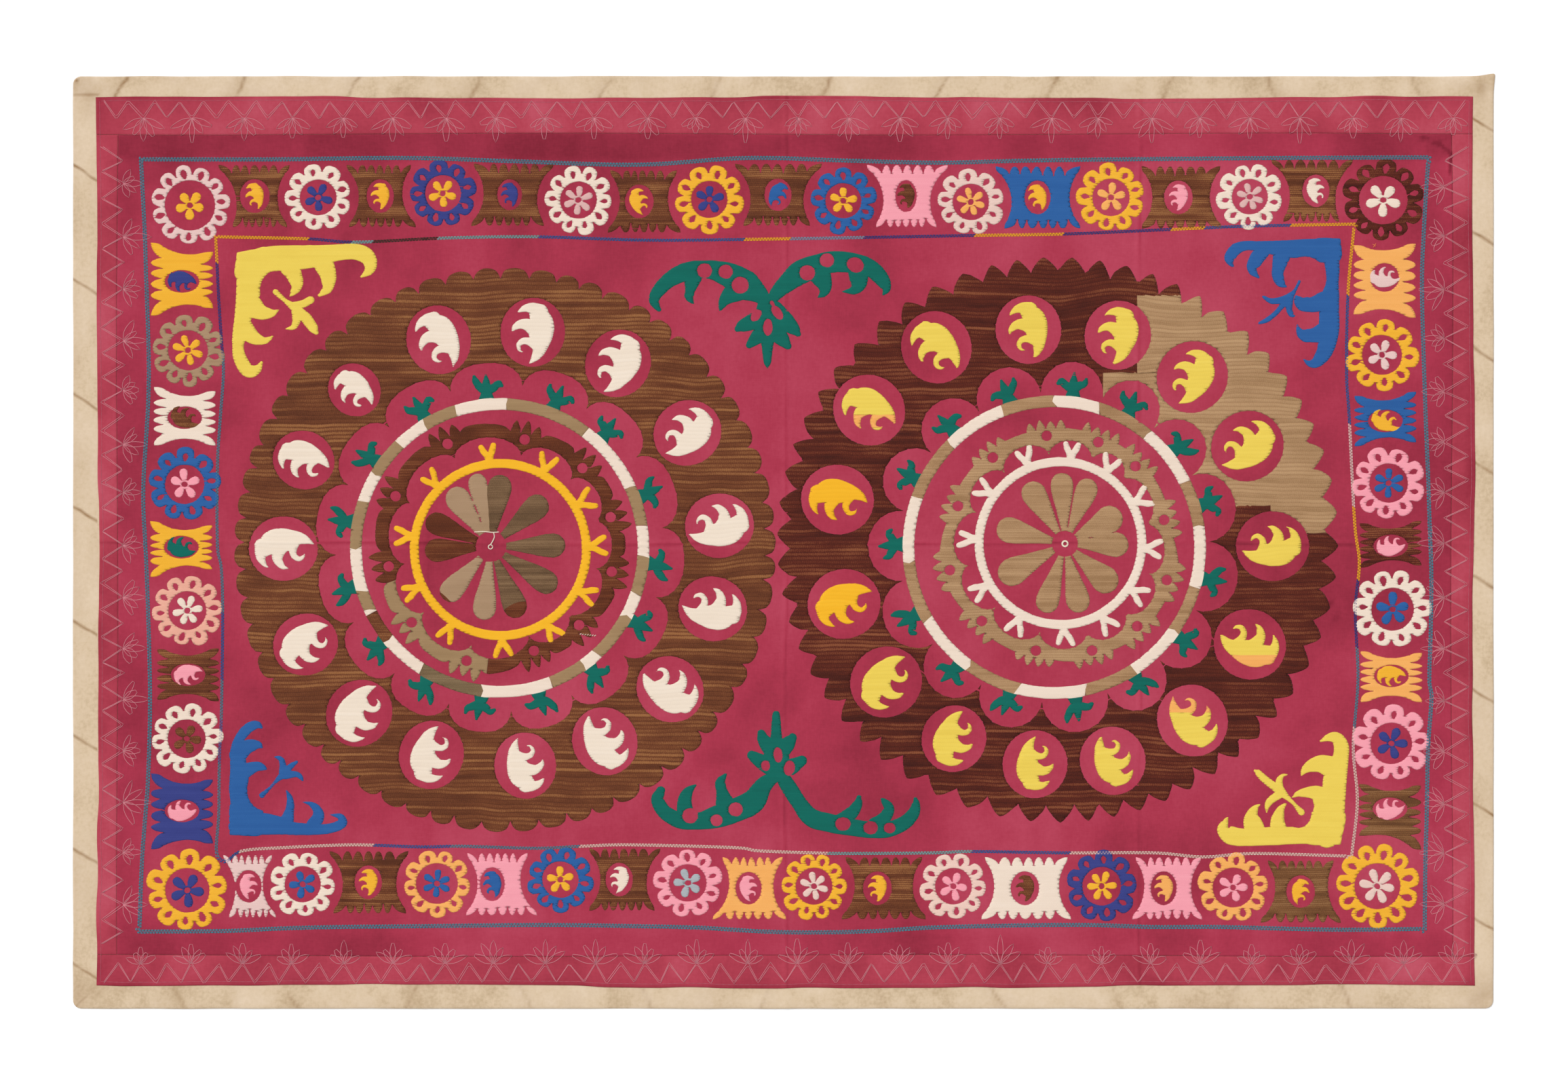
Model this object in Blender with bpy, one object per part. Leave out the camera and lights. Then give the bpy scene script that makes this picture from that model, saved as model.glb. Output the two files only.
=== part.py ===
"""Suzani embroidered textile, laid out flat with its worked face up.

X runs along the cloth's length, Y up its height, and Z up from the surface that it lies on.
The origin is under the middle of the cloth. Sizes in this file are in millimetres.
A cream cotton backing carries a magenta ground cloth and four edging strips, sewn edge to edge.
The embroidery stands on the ground cloth as low relief.
"""

import math

import bmesh
import bpy

MM = 0.001

# Driving sizes of the cloth
CLOTH_LENGTH = 2130.0
CLOTH_HEIGHT = 1400.0
BACKING_THICKNESS = 1.5
GROUND_THICKNESS = 1.5
PIECE_GAP = 0.3

# How far the embroidery stands on the ground cloth, and how deep its root reaches into it
STITCH_HEIGHT = 0.8
STITCH_ROOT = 0.5

# Distance between the points that shape a slightly wavy cut edge
EDGE_STEP = 95.0

# Where each cut edge or seam runs, and how it sways: mean place, size, wave length, start in degrees
EDGES = {
    "cloth_top": {"place": 666.0, "size": 1.8, "length": 900.0, "start": 60.0},
    "cloth_bottom": {"place": -666.0, "size": 2.4, "length": 1500.0, "start": 250.0},
    "cloth_left": {"place": -1028.5, "size": 2.6, "length": 2100.0, "start": 100.0},
    "cloth_right": {"place": 1034.0, "size": 1.8, "length": 700.0, "start": 20.0},
    "seam_top": {"place": 611.0, "size": 1.5, "length": 1100.0, "start": 200.0},
    "seam_bottom": {"place": -620.0, "size": 1.5, "length": 1300.0, "start": 30.0},
    "seam_left": {"place": -998.0, "size": 1.2, "length": 800.0, "start": 140.0},
    "seam_right": {"place": 1002.0, "size": 1.6, "length": 950.0, "start": 310.0},
}

# Backing corners: how far each is rounded off; the top right one is pulled out to a small ear
CORNER_ROUND = {"bottom_left": 13.0, "bottom_right": 11.0, "top_left": 8.0}
EAR_REACH = 2.0
EAR_LENGTH = 26.0

# The two medallions. Each ring of a medallion has its own centre, because the drawing is freehand.
WHEELS = {
    "left": {
        "centre": (-417.0, -12.0), "radius_x": 406.0, "radius_y": 423.0,
        "teeth": 62, "tooth_depth": 14.0, "tooth_start": 91.0,
        "oval_centre": (-421.0, -10.0), "oval_width": 96.0, "oval_height": 103.0,
        "lobe_centre": (-425.0, -9.0), "lobe_radius": 276.0, "lobe_cusp": 249.0,
    },
    "right": {
        "centre": (411.0, 3.0), "radius_x": 421.0, "radius_y": 424.0,
        "teeth": 60, "tooth_depth": 24.0, "tooth_start": 90.0,
        "oval_centre": (412.0, -1.0), "oval_width": 104.0, "oval_height": 109.0,
        "lobe_centre": (406.0, -8.0), "lobe_radius": 277.0, "lobe_cusp": 240.0,
    },
}

# Directions of the open lobes between each wheel and its ring, in degrees
LOBES = {
    "left": [20, 47, 69, 95, 120, 145, 170, 195, 219, 241, 263, 285, 307, 331, 354],
    "right": [16, 39, 61, 83, 107, 131, 154, 179, 206, 231, 253, 278, 302, 324, 348],
}

# Windows in each wheel: direction in degrees and distance from the wheel's oval centre
WINDOWS = {
    "left": [
        (6, 327), (32, 327), (58, 327), (82, 327), (107, 327), (133, 325), (156, 326), (180, 328),
        (206, 328), (229, 327), (251, 327), (276, 327), (298, 327), (320, 328), (344, 328),
    ],
    "right": [
        (27, 318), (51, 319), (74, 323), (98, 322), (122, 345), (145, 346), (169, 337), (196, 334),
        (219, 332), (242, 333), (264, 334), (284, 337), (307, 334), (332, 325), (359, 321),
    ],
}

WINDOW_POINTS = 9

# Plain rings of a medallion: centre, middle radius and width
RINGS = [
    {"centre": (-425.0, -9.0), "radius": 216.0, "width": 18.0},
    {"centre": (406.0, -8.0), "radius": 219.0, "width": 18.0},
    {"centre": (-424.0, -12.0), "radius": 136.0, "width": 14.0},
    {"centre": (415.0, -2.0), "radius": 129.0, "width": 14.0},
]

RING_POINTS = 26

# Scalloped rings: scallops bulge outwards inside the band, and small teeth stand outside it
BANDS = [
    {"centre": (-424.0, -10.0), "scallops": 11, "start": 77.0,
     "cusp": 148.0, "scallop": 165.0, "outer": 184.0, "tooth": 198.0},
    {"centre": (414.0, -1.0), "scallops": 12, "start": 98.0,
     "cusp": 140.0, "scallop": 155.0, "outer": 169.0, "tooth": 190.0},
]

# Flowers at the middle of the medallions: petal directions in degrees, and their reach
FLOWERS = [
    {"centre": (-438.0, -7.0), "inner": 25.0, "outer": 108.0, "width": 33.0,
     "petals": [1, 42, 81, 103, 125, 156, 184, 228, 264, 292, 327]},
    {"centre": (422.0, -3.0), "inner": 23.0, "outer": 104.0, "width": 33.0,
     "petals": [29, 68, 93, 122, 166, 208, 253, 283, 318, 359]},
]

# One claw-edged leaf, drawn upright about its window's centre, claws to the left and tail down
LEAF = [
    (-31, 19), (0, 39), (30, 24), (30, -8), (0, -39), (-12, -56), (-10, -31), (-30, -32), (-15, -15),
    (-32, -5), (-10, 13),
]
LEAF_SIZE = 0.8

# Corner brackets: an L with hooked claws on its inner side, drawn for the top left corner
BRACKET = [
    (0, 0), (205, 14), (206, 30), (178, 40), (176, 26), (150, 27), (152, 44), (120, 66), (124, 46),
    (106, 36), (78, 44), (66, 30), (46, 32), (34, 52), (40, 76), (62, 84), (36, 104), (32, 118), (50, 128),
    (26, 146), (20, 166), (34, 172), (24, 190), (10, 186), (4, 160),
]
BRACKETS = [
    {"corner": (-818.0, 434.0), "turn_x": 1.0, "turn_y": -1.0, "size_x": 1.0, "size_y": 1.0},
    {"corner": (834.0, 455.0), "turn_x": -1.0, "turn_y": -1.0, "size_x": 0.86, "size_y": 1.04},
    {"corner": (-830.0, -438.0), "turn_x": 1.0, "turn_y": 1.0, "size_x": 0.88, "size_y": 0.9},
    {"corner": (841.0, -451.0), "turn_x": -1.0, "turn_y": 1.0, "size_x": 0.91, "size_y": 0.9},
]

# Half of the vine spray between the medallions, from the fleur's tip up and out along one arm
VINE_HALF = [
    (0, -101), (8, -82), (9, -62), (26, -72), (33, -62), (24, -50), (44, -50), (48, -40), (32, -26),
    (16, -12), (26, 0), (48, 2), (62, -2), (66, -14), (86, -4), (84, 14), (98, 22), (112, 10), (128, 12),
    (132, 28), (158, 24), (172, 6), (184, 10), (176, 38), (150, 62), (112, 72), (70, 66), (30, 42), (6, 8),
]
VINE_LEFT_SIZE = 0.98
VINE_LEFT_DROP = 0.7
VINES = [
    {"centre": (-25.0, 354.0), "up": 1.0, "spread": 1.0},
    {"centre": (-12.0, -356.0), "up": -1.0, "spread": 1.0},
]

# Border, one row for each motif: x, y and outer radius of a rosette
ROSETTES = [
    (-889, 504, 61), (-697, 516, 51), (-510, 522, 51), (-307, 512, 52), (-111, 513, 52), (90, 511, 50),
    (281, 509, 51), (491, 516, 52), (699, 517, 50), (899, 512, 62),
    (-893, -522, 60), (-720, -513, 50), (-519, -512, 51), (-334, -506, 50), (-143, -511, 52), (46, -516, 51),
    (255, -516, 51), (477, -516, 54), (674, -518, 53), (890, -516, 64),
    (-892, 287, 55), (-897, 86, 55), (-893, -103, 54), (-894, -295, 54),
    (897, 280, 55), (907, 88, 55), (913, -101, 60), (911, -302, 58),
]
ROSETTE_LOBES = 10
ROSETTE_CUSP = 0.86

# Cartouches between the rosettes: x, y, and whether the horns point along the border's length
CARTOUCHES = [
    (-792, 518, "row"), (-604, 518, "row"), (-410, 520, "row"), (-216, 510, "row"), (-8, 520, "row"),
    (184, 518, "row"), (381, 516, "row"), (592, 516, "row"), (798, 526, "row"),
    (-801, -516, "row"), (-622, -510, "row"), (-436, -513, "row"), (-246, -506, "row"), (-52, -519, "row"),
    (141, -519, "row"), (362, -519, "row"), (570, -519, "row"), (775, -524, "row"),
    (-901, 390, "side"), (-897, 186, "side"), (-902, -8, "side"), (-892, -199, "side"), (-901, -403, "side"),
    (901, 396, "side"), (902, 181, "side"), (910, -6, "side"), (911, -201, "side"), (909, -400, "side"),
]
CARTOUCHE = [
    (-46, 48), (-26, 41), (1, 48), (27, 42), (46, 47), (28, 16), (27, -17),
    (45, -48), (28, -42), (-1, -47), (-27, -41), (-46, -47), (-27, -16), (-28, 15),
]
SIDE_CARTOUCHE_SCALE = 0.94

# Surface colours and roughness of each cloth
COLOURS = {
    "backing": ((0.71, 0.53, 0.38, 1.0), 0.9),
    "ground": ((0.41, 0.045, 0.09, 1.0), 0.85),
    "edging": ((0.47, 0.075, 0.12, 1.0), 0.88),
}

# Faces that meet at less than this angle, in degrees, are one flat face
FLAT_ANGLE = 0.05

BACKING_TOP = BACKING_THICKNESS
GROUND_BOTTOM = BACKING_TOP + PIECE_GAP
GROUND_TOP = GROUND_BOTTOM + GROUND_THICKNESS


def sway(edge, along):
    """Place of a swaying edge at a distance along it."""
    row = EDGES[edge]
    turn = 2 * math.pi * along / row["length"] + math.radians(row["start"])
    return row["place"] + row["size"] * math.sin(turn)


def stations(start, stop):
    """Evenly spaced distances from start to stop, both included."""
    count = max(2, round(abs(stop - start) / EDGE_STEP))
    return [start + (stop - start) * i / count for i in range(count + 1)]


def across(edge, start, stop, shift=0.0):
    """Points of an edge that runs along X, moved up by shift."""
    return [(x, sway(edge, x) + shift) for x in stations(start, stop)]


def upright(edge, start, stop, shift=0.0):
    """Points of an edge that runs along Y, moved right by shift."""
    return [(sway(edge, y) + shift, y) for y in stations(start, stop)]


def polar(centre, radius, degrees):
    """Point at a distance and direction from a centre."""
    turn = math.radians(degrees)
    return (centre[0] + radius * math.cos(turn), centre[1] + radius * math.sin(turn))


def ellipse(centre, width, height, turn=0.0, count=12):
    """Closed oval whose height lies in the direction turn."""
    loop = []
    cos_turn, sin_turn = math.cos(math.radians(turn)), math.sin(math.radians(turn))
    for i in range(count):
        a = 2 * math.pi * i / count
        out, side = height / 2 * math.cos(a), width / 2 * math.sin(a)
        loop.append((centre[0] + out * cos_turn - side * sin_turn,
                     centre[1] + out * sin_turn + side * cos_turn))
    return loop


def placed(shape, centre, turn=0.0, scale_x=1.0, scale_y=1.0):
    """A drawn shape, scaled, turned by degrees and moved to a centre."""
    c, s = math.cos(math.radians(turn)), math.sin(math.radians(turn))
    return [(centre[0] + x * scale_x * c - y * scale_y * s,
             centre[1] + x * scale_x * s + y * scale_y * c) for x, y in shape]


def rounded_corner(corner, sign_x, sign_y, radius, steps=4):
    """Arc that rounds one corner, going counter-clockwise round the cloth."""
    centre = (corner[0] - sign_x * radius, corner[1] - sign_y * radius)
    first = {(-1, -1): 180, (1, -1): 270, (1, 1): 0, (-1, 1): 90}[(sign_x, sign_y)]
    return [polar(centre, radius, first + 90 * i / steps) for i in range(steps + 1)]


def backing_outline():
    """The backing's cut edge, a rectangle with rounded corners and one small ear."""
    x, y = CLOTH_LENGTH / 2, CLOTH_HEIGHT / 2
    top = y - EAR_REACH
    right = x - EAR_REACH / 2
    loop = rounded_corner((-x, -y), -1, -1, CORNER_ROUND["bottom_left"])
    loop += rounded_corner((right, -y), 1, -1, CORNER_ROUND["bottom_right"])
    loop += [(right, top - EAR_LENGTH), (x, y - 3), (x - 3, y), (x - EAR_LENGTH, top)]
    loop += rounded_corner((-x, top), -1, 1, CORNER_ROUND["top_left"])
    return loop


def ground_outline():
    """The ground cloth's seam lines, half a gap inside the edging strips."""
    half = PIECE_GAP / 2
    left, right = EDGES["seam_left"]["place"], EDGES["seam_right"]["place"]
    bottom, top = EDGES["seam_bottom"]["place"], EDGES["seam_top"]["place"]
    loop = across("seam_bottom", left, right, half)[1:-1]
    loop += upright("seam_right", sway("seam_bottom", right) + half, sway("seam_top", right) - half, -half)
    loop += across("seam_top", right, left, -half)[1:-1]
    loop += upright("seam_left", sway("seam_top", left) - half, sway("seam_bottom", left) + half, half)
    return loop


def long_strip_outline(inner, outer, shift):
    """An edging strip along the top or the bottom, the full width of the magenta cloth."""
    left, right = EDGES["cloth_left"]["place"], EDGES["cloth_right"]["place"]
    return across(inner, left, right, shift) + across(outer, right, left)


def side_strip_outline(inner, outer, shift):
    """An edging strip along one side, between the top and bottom strips."""
    x = EDGES[inner]["place"]
    bottom = sway("seam_bottom", x) + PIECE_GAP / 2
    top = sway("seam_top", x) - PIECE_GAP / 2
    return upright(inner, bottom, top, shift) + upright(outer, top, bottom)


def lobe_spans(middles):
    """Where each lobe starts and stops: halfway to its neighbours."""
    before = [middles[-1] - 360] + middles[:-1]
    after = middles[1:] + [middles[0] + 360]
    starts = [(a + b) / 2 for a, b in zip(before, middles)]
    stops = [(a + b) / 2 for a, b in zip(middles, after)]
    return starts, stops


def wheel_loops(side):
    """One embroidered wheel: toothed outside, lobed inside, with oval windows and their leaves."""
    row = WHEELS[side]
    teeth, lobed, loops = [], [], []
    pitch = 360 / row["teeth"]
    for i in range(row["teeth"]):
        for share, depth in ((0.0, 0.0), (0.5, row["tooth_depth"])):
            turn = math.radians(row["tooth_start"] + (i + share) * pitch)
            teeth.append((row["centre"][0] + (row["radius_x"] - depth) * math.cos(turn),
                          row["centre"][1] + (row["radius_y"] - depth) * math.sin(turn)))
    rise = row["lobe_radius"] - row["lobe_cusp"]
    starts, stops = lobe_spans(LOBES[side])
    for start, stop in zip(starts, stops):
        for share in (0.0, 0.2, 0.5, 0.8):
            bulge = math.sqrt(1 - (2 * share - 1) ** 2)
            lobed.append(polar(row["lobe_centre"], row["lobe_cusp"] + rise * bulge,
                               start + share * (stop - start)))
    loops += [teeth, lobed]
    for degrees, distance in WINDOWS[side]:
        centre = polar(row["oval_centre"], distance, degrees)
        loops.append(ellipse(centre, row["oval_width"], row["oval_height"], degrees, WINDOW_POINTS))
        loops.append(placed(LEAF, centre, degrees - 90, LEAF_SIZE, LEAF_SIZE))
    return loops


def ring_loops(row):
    """A plain ring as an outer and an inner circle."""
    turns = [360 * i / RING_POINTS for i in range(RING_POINTS)]
    half = row["width"] / 2
    return [[polar(row["centre"], row["radius"] + side * half, turn) for turn in turns] for side in (1, -1)]


def band_loops(row):
    """A scalloped ring: cusps point inwards, and three teeth stand outside each cusp."""
    inner, outer = [], []
    arc = 360 / row["scallops"]
    for i in range(row["scallops"]):
        at = row["start"] + i * arc
        inner += [polar(row["centre"], row["cusp"], at),
                  polar(row["centre"], row["scallop"], at + 0.3 * arc),
                  polar(row["centre"], row["scallop"], at + 0.7 * arc)]
        outer += [polar(row["centre"], row["outer"], at - 0.13 * arc),
                  polar(row["centre"], row["tooth"], at),
                  polar(row["centre"], row["outer"], at + 0.13 * arc),
                  polar(row["centre"], row["tooth"] - 3, at + 0.27 * arc),
                  polar(row["centre"], row["outer"] - 2, at + 0.4 * arc),
                  polar(row["centre"], row["outer"] - 2, at + 0.6 * arc),
                  polar(row["centre"], row["tooth"] - 3, at + 0.73 * arc)]
    return [outer, inner]


def flower_loops(row):
    """Separate petals round an open middle."""
    loops = []
    reach = row["outer"] - row["inner"]
    half = row["width"] / 2
    petal = [(-2, 0), (2, 0), (half, 0.75 * reach), (0.55 * half, reach),
             (-0.55 * half, reach), (-half, 0.75 * reach)]
    for degrees in row["petals"]:
        loops.append(placed(petal, polar(row["centre"], row["inner"], degrees), degrees - 90, 0.8))
    return loops


def bracket_loop(row):
    """One corner bracket, mirrored from the drawn one."""
    return [(row["corner"][0] + row["turn_x"] * row["size_x"] * x,
             row["corner"][1] + row["turn_y"] * row["size_y"] * y) for x, y in BRACKET]


def vine_loop(row):
    """One vine spray, its drawn half mirrored about the upright middle line."""
    right = [(x * row["spread"], y) for x, y in VINE_HALF]
    left = [(-x * VINE_LEFT_SIZE, y * VINE_LEFT_SIZE + VINE_LEFT_DROP) for x, y in reversed(right[1:])]
    return [(row["centre"][0] + x, row["centre"][1] + row["up"] * y) for x, y in right + left]


def rosette_loop(x, y, radius):
    """The lobed outline of a border rosette."""
    step = 180 / ROSETTE_LOBES
    return [polar((x, y), radius * (ROSETTE_CUSP if i % 2 else 1.0), 90 + i * step)
            for i in range(2 * ROSETTE_LOBES)]


def cartouche_loop(x, y, lie):
    """An hourglass cartouche with four horns and toothed ends."""
    if lie == "row":
        return placed(CARTOUCHE, (x, y))
    return placed(CARTOUCHE, (x, y), 90, SIDE_CARTOUCHE_SCALE, SIDE_CARTOUCHE_SCALE)


def embroidery_loops():
    """Every outline of the relief. A loop inside another is a hole or an island."""
    loops = []
    for side in WHEELS:
        loops += wheel_loops(side)
    for row in RINGS:
        loops += ring_loops(row)
    for row in BANDS:
        loops += band_loops(row)
    for row in FLOWERS:
        loops += flower_loops(row)
    loops += [bracket_loop(row) for row in BRACKETS]
    loops += [vine_loop(row) for row in VINES]
    loops += [rosette_loop(*row) for row in ROSETTES]
    loops += [cartouche_loop(*row) for row in CARTOUCHES]
    return loops


def cloth_material(name, finish):
    """Plain woven cloth of one colour."""
    colour, roughness = COLOURS[finish]
    material = bpy.data.materials.new(name)
    material.use_nodes = True
    shader = material.node_tree.nodes["Principled BSDF"]
    shader.inputs["Base Color"].default_value = colour
    shader.inputs["Roughness"].default_value = roughness
    shader.inputs["Metallic"].default_value = 0.0
    material.diffuse_color = colour
    return material


def flat_solid(name, loops, bottom, top, collection):
    """A flat solid between two heights, filled between its outlines."""
    curve = bpy.data.curves.new(name, "CURVE")
    curve.dimensions = "2D"
    curve.fill_mode = "BOTH"
    curve.extrude = (top - bottom) / 2 * MM
    for loop in loops:
        spline = curve.splines.new("POLY")
        spline.points.add(len(loop) - 1)
        for point, (x, y) in zip(spline.points, loop):
            point.co = (x * MM, y * MM, 0.0, 1.0)
        spline.use_cyclic_u = True
    drawn = bpy.data.objects.new(name + "_outline", curve)
    drawn.location.z = (bottom + top) / 2 * MM
    collection.objects.link(drawn)
    bpy.context.view_layer.update()
    mesh = bpy.data.meshes.new_from_object(drawn.evaluated_get(bpy.context.evaluated_depsgraph_get()))
    solid = bpy.data.objects.new(name, mesh)
    solid.matrix_world = drawn.matrix_world.copy()
    collection.objects.link(solid)
    bpy.data.objects.remove(drawn)
    weld(mesh)
    return solid


def weld(mesh):
    """Joins the caps to the sides, makes each flat face whole and turns every face outwards."""
    work = bmesh.new()
    work.from_mesh(mesh)
    bmesh.ops.remove_doubles(work, verts=work.verts, dist=0.01 * MM)
    bmesh.ops.dissolve_limit(work, angle_limit=math.radians(FLAT_ANGLE), verts=work.verts, edges=work.edges)
    bmesh.ops.recalc_face_normals(work, faces=work.faces)
    work.to_mesh(mesh)
    work.free()


def sheet(name, finish, loops, bottom, top, collection):
    """One cloth piece with its own material."""
    solid = flat_solid(name, loops, bottom, top, collection)
    solid.data.materials.clear()
    solid.data.materials.append(cloth_material(name, finish))
    return solid


def raise_embroidery(ground, guides):
    """Joins the relief of the stitching to the ground cloth."""
    relief = flat_solid("embroidery_relief", embroidery_loops(),
                        GROUND_TOP - STITCH_ROOT, GROUND_TOP + STITCH_HEIGHT, guides)
    relief.hide_render = True
    relief.display_type = "WIRE"
    union = ground.modifiers.new("embroidery", "BOOLEAN")
    union.operation = "UNION"
    union.solver = "EXACT"
    union.object = relief
    tidy = ground.modifiers.new("whole_faces", "DECIMATE")
    tidy.decimate_type = "DISSOLVE"
    tidy.angle_limit = math.radians(FLAT_ANGLE)


def clear_scene():
    """Removes whatever the open file holds."""
    for old in list(bpy.data.objects):
        bpy.data.objects.remove(old, do_unlink=True)


def new_collection(name):
    """A collection linked to the scene."""
    collection = bpy.data.collections.new(name)
    bpy.context.scene.collection.children.link(collection)
    return collection


def main():
    clear_scene()
    pieces = new_collection("suzani_textile")
    guides = new_collection("guides")
    half = PIECE_GAP / 2
    sheet("backing_cloth", "backing", [backing_outline()], 0.0, BACKING_TOP, pieces)
    ground = sheet("ground_cloth", "ground", [ground_outline()], GROUND_BOTTOM, GROUND_TOP, pieces)
    raise_embroidery(ground, guides)
    strips = {
        "edging_top": long_strip_outline("seam_top", "cloth_top", half),
        "edging_bottom": long_strip_outline("seam_bottom", "cloth_bottom", -half),
        "edging_left": side_strip_outline("seam_left", "cloth_left", -half),
        "edging_right": side_strip_outline("seam_right", "cloth_right", half),
    }
    for name, outline in strips.items():
        sheet(name, "edging", [outline], GROUND_BOTTOM, GROUND_TOP, pieces)


main()
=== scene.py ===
import math

import bpy
import numpy as np
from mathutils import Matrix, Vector, kdtree
from mathutils.geometry import delaunay_2d_cdt


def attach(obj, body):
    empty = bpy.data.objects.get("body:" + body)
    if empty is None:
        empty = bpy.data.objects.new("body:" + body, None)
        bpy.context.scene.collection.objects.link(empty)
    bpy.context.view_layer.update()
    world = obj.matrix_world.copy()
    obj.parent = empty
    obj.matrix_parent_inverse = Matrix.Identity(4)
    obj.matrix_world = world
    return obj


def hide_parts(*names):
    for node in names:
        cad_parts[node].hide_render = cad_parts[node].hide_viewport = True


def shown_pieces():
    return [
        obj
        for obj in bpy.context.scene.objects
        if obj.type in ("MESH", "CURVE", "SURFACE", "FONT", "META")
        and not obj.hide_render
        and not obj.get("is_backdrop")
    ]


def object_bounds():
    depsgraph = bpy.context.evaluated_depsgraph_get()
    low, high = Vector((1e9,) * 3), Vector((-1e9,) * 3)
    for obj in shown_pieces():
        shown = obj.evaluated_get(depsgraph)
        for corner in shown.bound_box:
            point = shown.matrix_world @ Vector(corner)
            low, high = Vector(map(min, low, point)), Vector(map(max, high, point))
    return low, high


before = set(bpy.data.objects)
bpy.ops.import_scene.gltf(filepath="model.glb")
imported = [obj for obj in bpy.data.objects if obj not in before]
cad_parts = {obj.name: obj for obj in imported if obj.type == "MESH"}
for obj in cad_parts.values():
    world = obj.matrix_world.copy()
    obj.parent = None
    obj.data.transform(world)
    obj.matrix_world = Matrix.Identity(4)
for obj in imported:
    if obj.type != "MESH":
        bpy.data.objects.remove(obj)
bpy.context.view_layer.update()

# Suzani: magenta cotton on a cream backing, embroidered with two wheels and a border.
# Sizes below are in millimetres, with x along the cloth and y up its height.
mm = 0.001


# Numbers and noise

def linear(r, g, b):
    # screen colour 0 to 255 to the shader's linear colour
    out = []
    for value in (r, g, b):
        c = value / 255
        out.append(c / 12.92 if c <= 0.04045 else ((c + 0.055) / 1.055) ** 2.4)
    return (*out, 1.0)


def softNoise(x, y, patch, seed):
    # smooth random field between -1 and 1; patch is the size of its blotches
    grid = np.random.default_rng(seed).uniform(-1, 1, (64, 64))
    gx, gy = np.asarray(x, float) / patch + 640.3, np.asarray(y, float) / patch + 640.3
    ix, iy = np.floor(gx).astype(int), np.floor(gy).astype(int)
    fx, fy = gx - ix, gy - iy
    fx = fx ** 3 * (fx * (6 * fx - 15) + 10)
    fy = fy ** 3 * (fy * (6 * fy - 15) + 10)
    low = grid[ix % 64, iy % 64] * (1 - fx) + grid[(ix + 1) % 64, iy % 64] * fx
    high = grid[ix % 64, (iy + 1) % 64] * (1 - fx) + grid[(ix + 1) % 64, (iy + 1) % 64] * fx
    return low * (1 - fy) + high * fy


def polar(centre, radius, degrees):
    turn = math.radians(degrees)
    return (centre[0] + radius * math.cos(turn), centre[1] + radius * math.sin(turn))


# How the cloth lies

clothLie = {
    "backingTop": 1.5, "groundBottom": 1.75, "groundTop": 3.2,
    # blotch, height, seed
    "puckers": [(240.0, 0.55, 11), (95.0, 0.34, 12), (46.0, 0.20, 13), (26.0, 0.07, 14)],
    "rippleHeight": 0.34, "rippleLength": 34.0, "rippleReach": 150.0,      # small gathers along the seams
    "rippleX": 975.0, "rippleY": 590.0,
    "folds": [   # creases from folding: way, place, height, width, sway
        ("upright", -536.0, 0.45, 5.0, 5.0), ("upright", 4.6, 0.6, 4.2, 4.0),
        ("upright", 533.0, 0.8, 4.0, 4.0), ("upright", 265.0, 0.3, 5.0, 3.0),
        ("across", -2.5, 0.9, 3.6, 3.5),
    ],
    "pull": [(955.0, 607.0), (984.0, 595.0), (1000.0, 582.0), (998.0, 553.0)],   # pulled crease, top right
    "pullHeight": 1.3, "pullReach": 4.0,
}


def foldDistance(x, y, fold):
    way, place, swing = fold[0], fold[1], fold[4]
    along, across = (y, x) if way == "upright" else (x, y)
    return across - place - swing * softNoise(along, 0 * along + place, 170.0, 31)


def pullDistance(x, y):
    # distance to the short pulled crease near the top right corner
    best = np.full(np.shape(x), 1e6)
    for (ax, ay), (bx, by) in zip(clothLie["pull"], clothLie["pull"][1:]):
        lx, ly = bx - ax, by - ay
        share = np.clip(((x - ax) * lx + (y - ay) * ly) / (lx * lx + ly * ly), 0, 1)
        best = np.minimum(best, np.hypot(x - ax - share * lx, y - ay - share * ly))
    return best


def clothLift(x, y):
    # how far the cloth's underside is off the floor, never below it
    x, y = np.asarray(x, float), np.asarray(y, float)
    lift = np.zeros(x.shape)
    for patch, height, seed in clothLie["puckers"]:
        lift += height * softNoise(x, y, patch, seed)
    ripple, length, reach = (clothLie[k] for k in ("rippleHeight", "rippleLength", "rippleReach"))
    nearRow = (np.exp(-((np.abs(y) - clothLie["rippleY"]) / reach) ** 2)
               + np.exp(-((np.abs(x) - clothLie["rippleX"]) / reach) ** 2))
    lift += ripple * np.clip(nearRow, 0, 1) * (
        softNoise(x, y, length, 21) * 0.6 + softNoise(x, y * 0.2, length * 0.7, 22) * 0.4)
    for fold in clothLie["folds"]:
        lift += fold[2] * np.exp(-np.abs(foldDistance(x, y, fold) / fold[3]) ** 1.6)
    lift += clothLie["pullHeight"] * np.exp(-(pullDistance(x, y) / clothLie["pullReach"]) ** 2)
    return np.log1p(np.exp((lift + 0.1) * 3.0)) / 3.0   # soft floor at zero


def groundTop(x, y):
    return clothLift(x, y) + clothLie["groundTop"]


# Outlines

def smoothLoop(points, perSpan=5):
    # closed curve through the points; a point given twice is a sharp corner
    p = np.array(points, float)
    out = []
    n = len(p)
    for i in range(n):
        a, b, c, d = p[(i - 1) % n], p[i], p[(i + 1) % n], p[(i + 2) % n]
        if np.allclose(b, c):
            continue
        if np.allclose(a, b):
            a = b - (c - b)
        if np.allclose(c, d):
            d = c + (c - b)
        t = np.arange(perSpan)[:, None] / perSpan
        out.append(0.5 * (2 * b + (c - a) * t + (2 * a - 5 * b + 4 * c - d) * t ** 2
                          + (3 * b - a - 3 * c + d) * t ** 3))
    return np.concatenate(out)


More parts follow.
